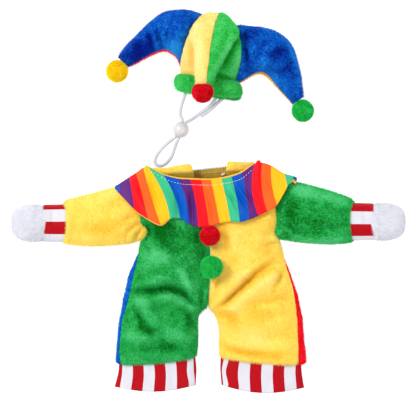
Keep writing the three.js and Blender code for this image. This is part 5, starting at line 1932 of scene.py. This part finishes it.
class COSTUME_OT_front_horn(bpy.types.Operator):
    """Makes the two halves of the front horn, folded forward over the crown"""

    bl_idname = "costume.front_horn"
    bl_label = "Front horn"

    def execute(self, context):
        for side, node, colour, slot, seed in (
            ("L", "peak_yellow", "pale_yellow", "yellow_plush", 91),
            ("R", "peak_green", "hat_green", "green_plush", 92),
        ):
            piece = surface(node + "_panel", 32, 60, peak_surface(side), shade_strokes=PEAK_SHADE_STROKES)
            plush_sheet(piece, slot, colour, seed, [node], (0.045, 0.09), "folded", area=0.0025)
        return {"FINISHED"}


class COSTUME_OT_brim(bpy.types.Operator):
    """Makes the stuffed brim of the hat"""

    bl_idname = "costume.brim"
    bl_label = "Brim"

    def execute(self, context):
        piece = surface("brim_roll", 48, 64, brim_surface(), close=True, shade_strokes=BRIM_SHADE_STROKES)
        plush_stuffed(piece, "green_plush", "hat_green", 101, ["brim"], 0.6, comb=(0, -0.4, 0))
        return {"FINISHED"}


class COSTUME_OT_hat_pompoms(bpy.types.Operator):
    """Makes the three pompoms on the tips of the horns"""

    bl_idname = "costume.hat_pompoms"
    bl_label = "Hat pompoms"

    def execute(self, context):
        pompom("pompom_hat_left", "yellow_pompom", "pompom_yellow", 111, 11.8)
        pompom("pompom_hat_right", "green_pompom", "pompom_green", 112, 11.8)
        pompom("pompom_hat_front", "red_pompom", "pompom_red", 113, 11.2, highest_y=116)
        return {"FINISHED"}


STEPS = (
    COSTUME_OT_stage, COSTUME_OT_chin_cord, COSTUME_OT_fronts, COSTUME_OT_backs, COSTUME_OT_hems,
    COSTUME_OT_sleeves, COSTUME_OT_wrist_cuffs, COSTUME_OT_mitts, COSTUME_OT_collar, COSTUME_OT_neck,
    COSTUME_OT_chest_pompoms, COSTUME_OT_horns, COSTUME_OT_crown, COSTUME_OT_front_horn, COSTUME_OT_brim,
    COSTUME_OT_hat_pompoms,
)


class COSTUME_PT_panel(bpy.types.Panel):
    """Lists the sizes, the colours and the steps that build the costume"""

    bl_idname = "COSTUME_PT_panel"
    bl_label = "Pet clown costume"
    bl_space_type = "VIEW_3D"
    bl_region_type = "UI"
    bl_category = "Costume"

    def draw(self, context):
        column = self.layout.column(align=True)
        for group in settings():
            for name in group.__annotations__:
                column.prop(group, name)
            column.separator()
        for step in STEPS:
            column.operator(step.bl_idname)


CLASSES = (ClownSizes, ClownColours, *STEPS, COSTUME_PT_panel)


def register():
    for item in CLASSES:
        bpy.utils.register_class(item)
    bpy.types.Scene.clown_sizes = PointerProperty(type=ClownSizes)
    bpy.types.Scene.clown_colours = PointerProperty(type=ClownColours)


def unregister():
    del bpy.types.Scene.clown_colours
    del bpy.types.Scene.clown_sizes
    for item in reversed(CLASSES):
        bpy.utils.unregister_class(item)


def main():
    register()
    for step in STEPS:
        group, name = step.bl_idname.split(".")
        getattr(getattr(bpy.ops, group), name)()


if __name__ == "__main__":
    main()
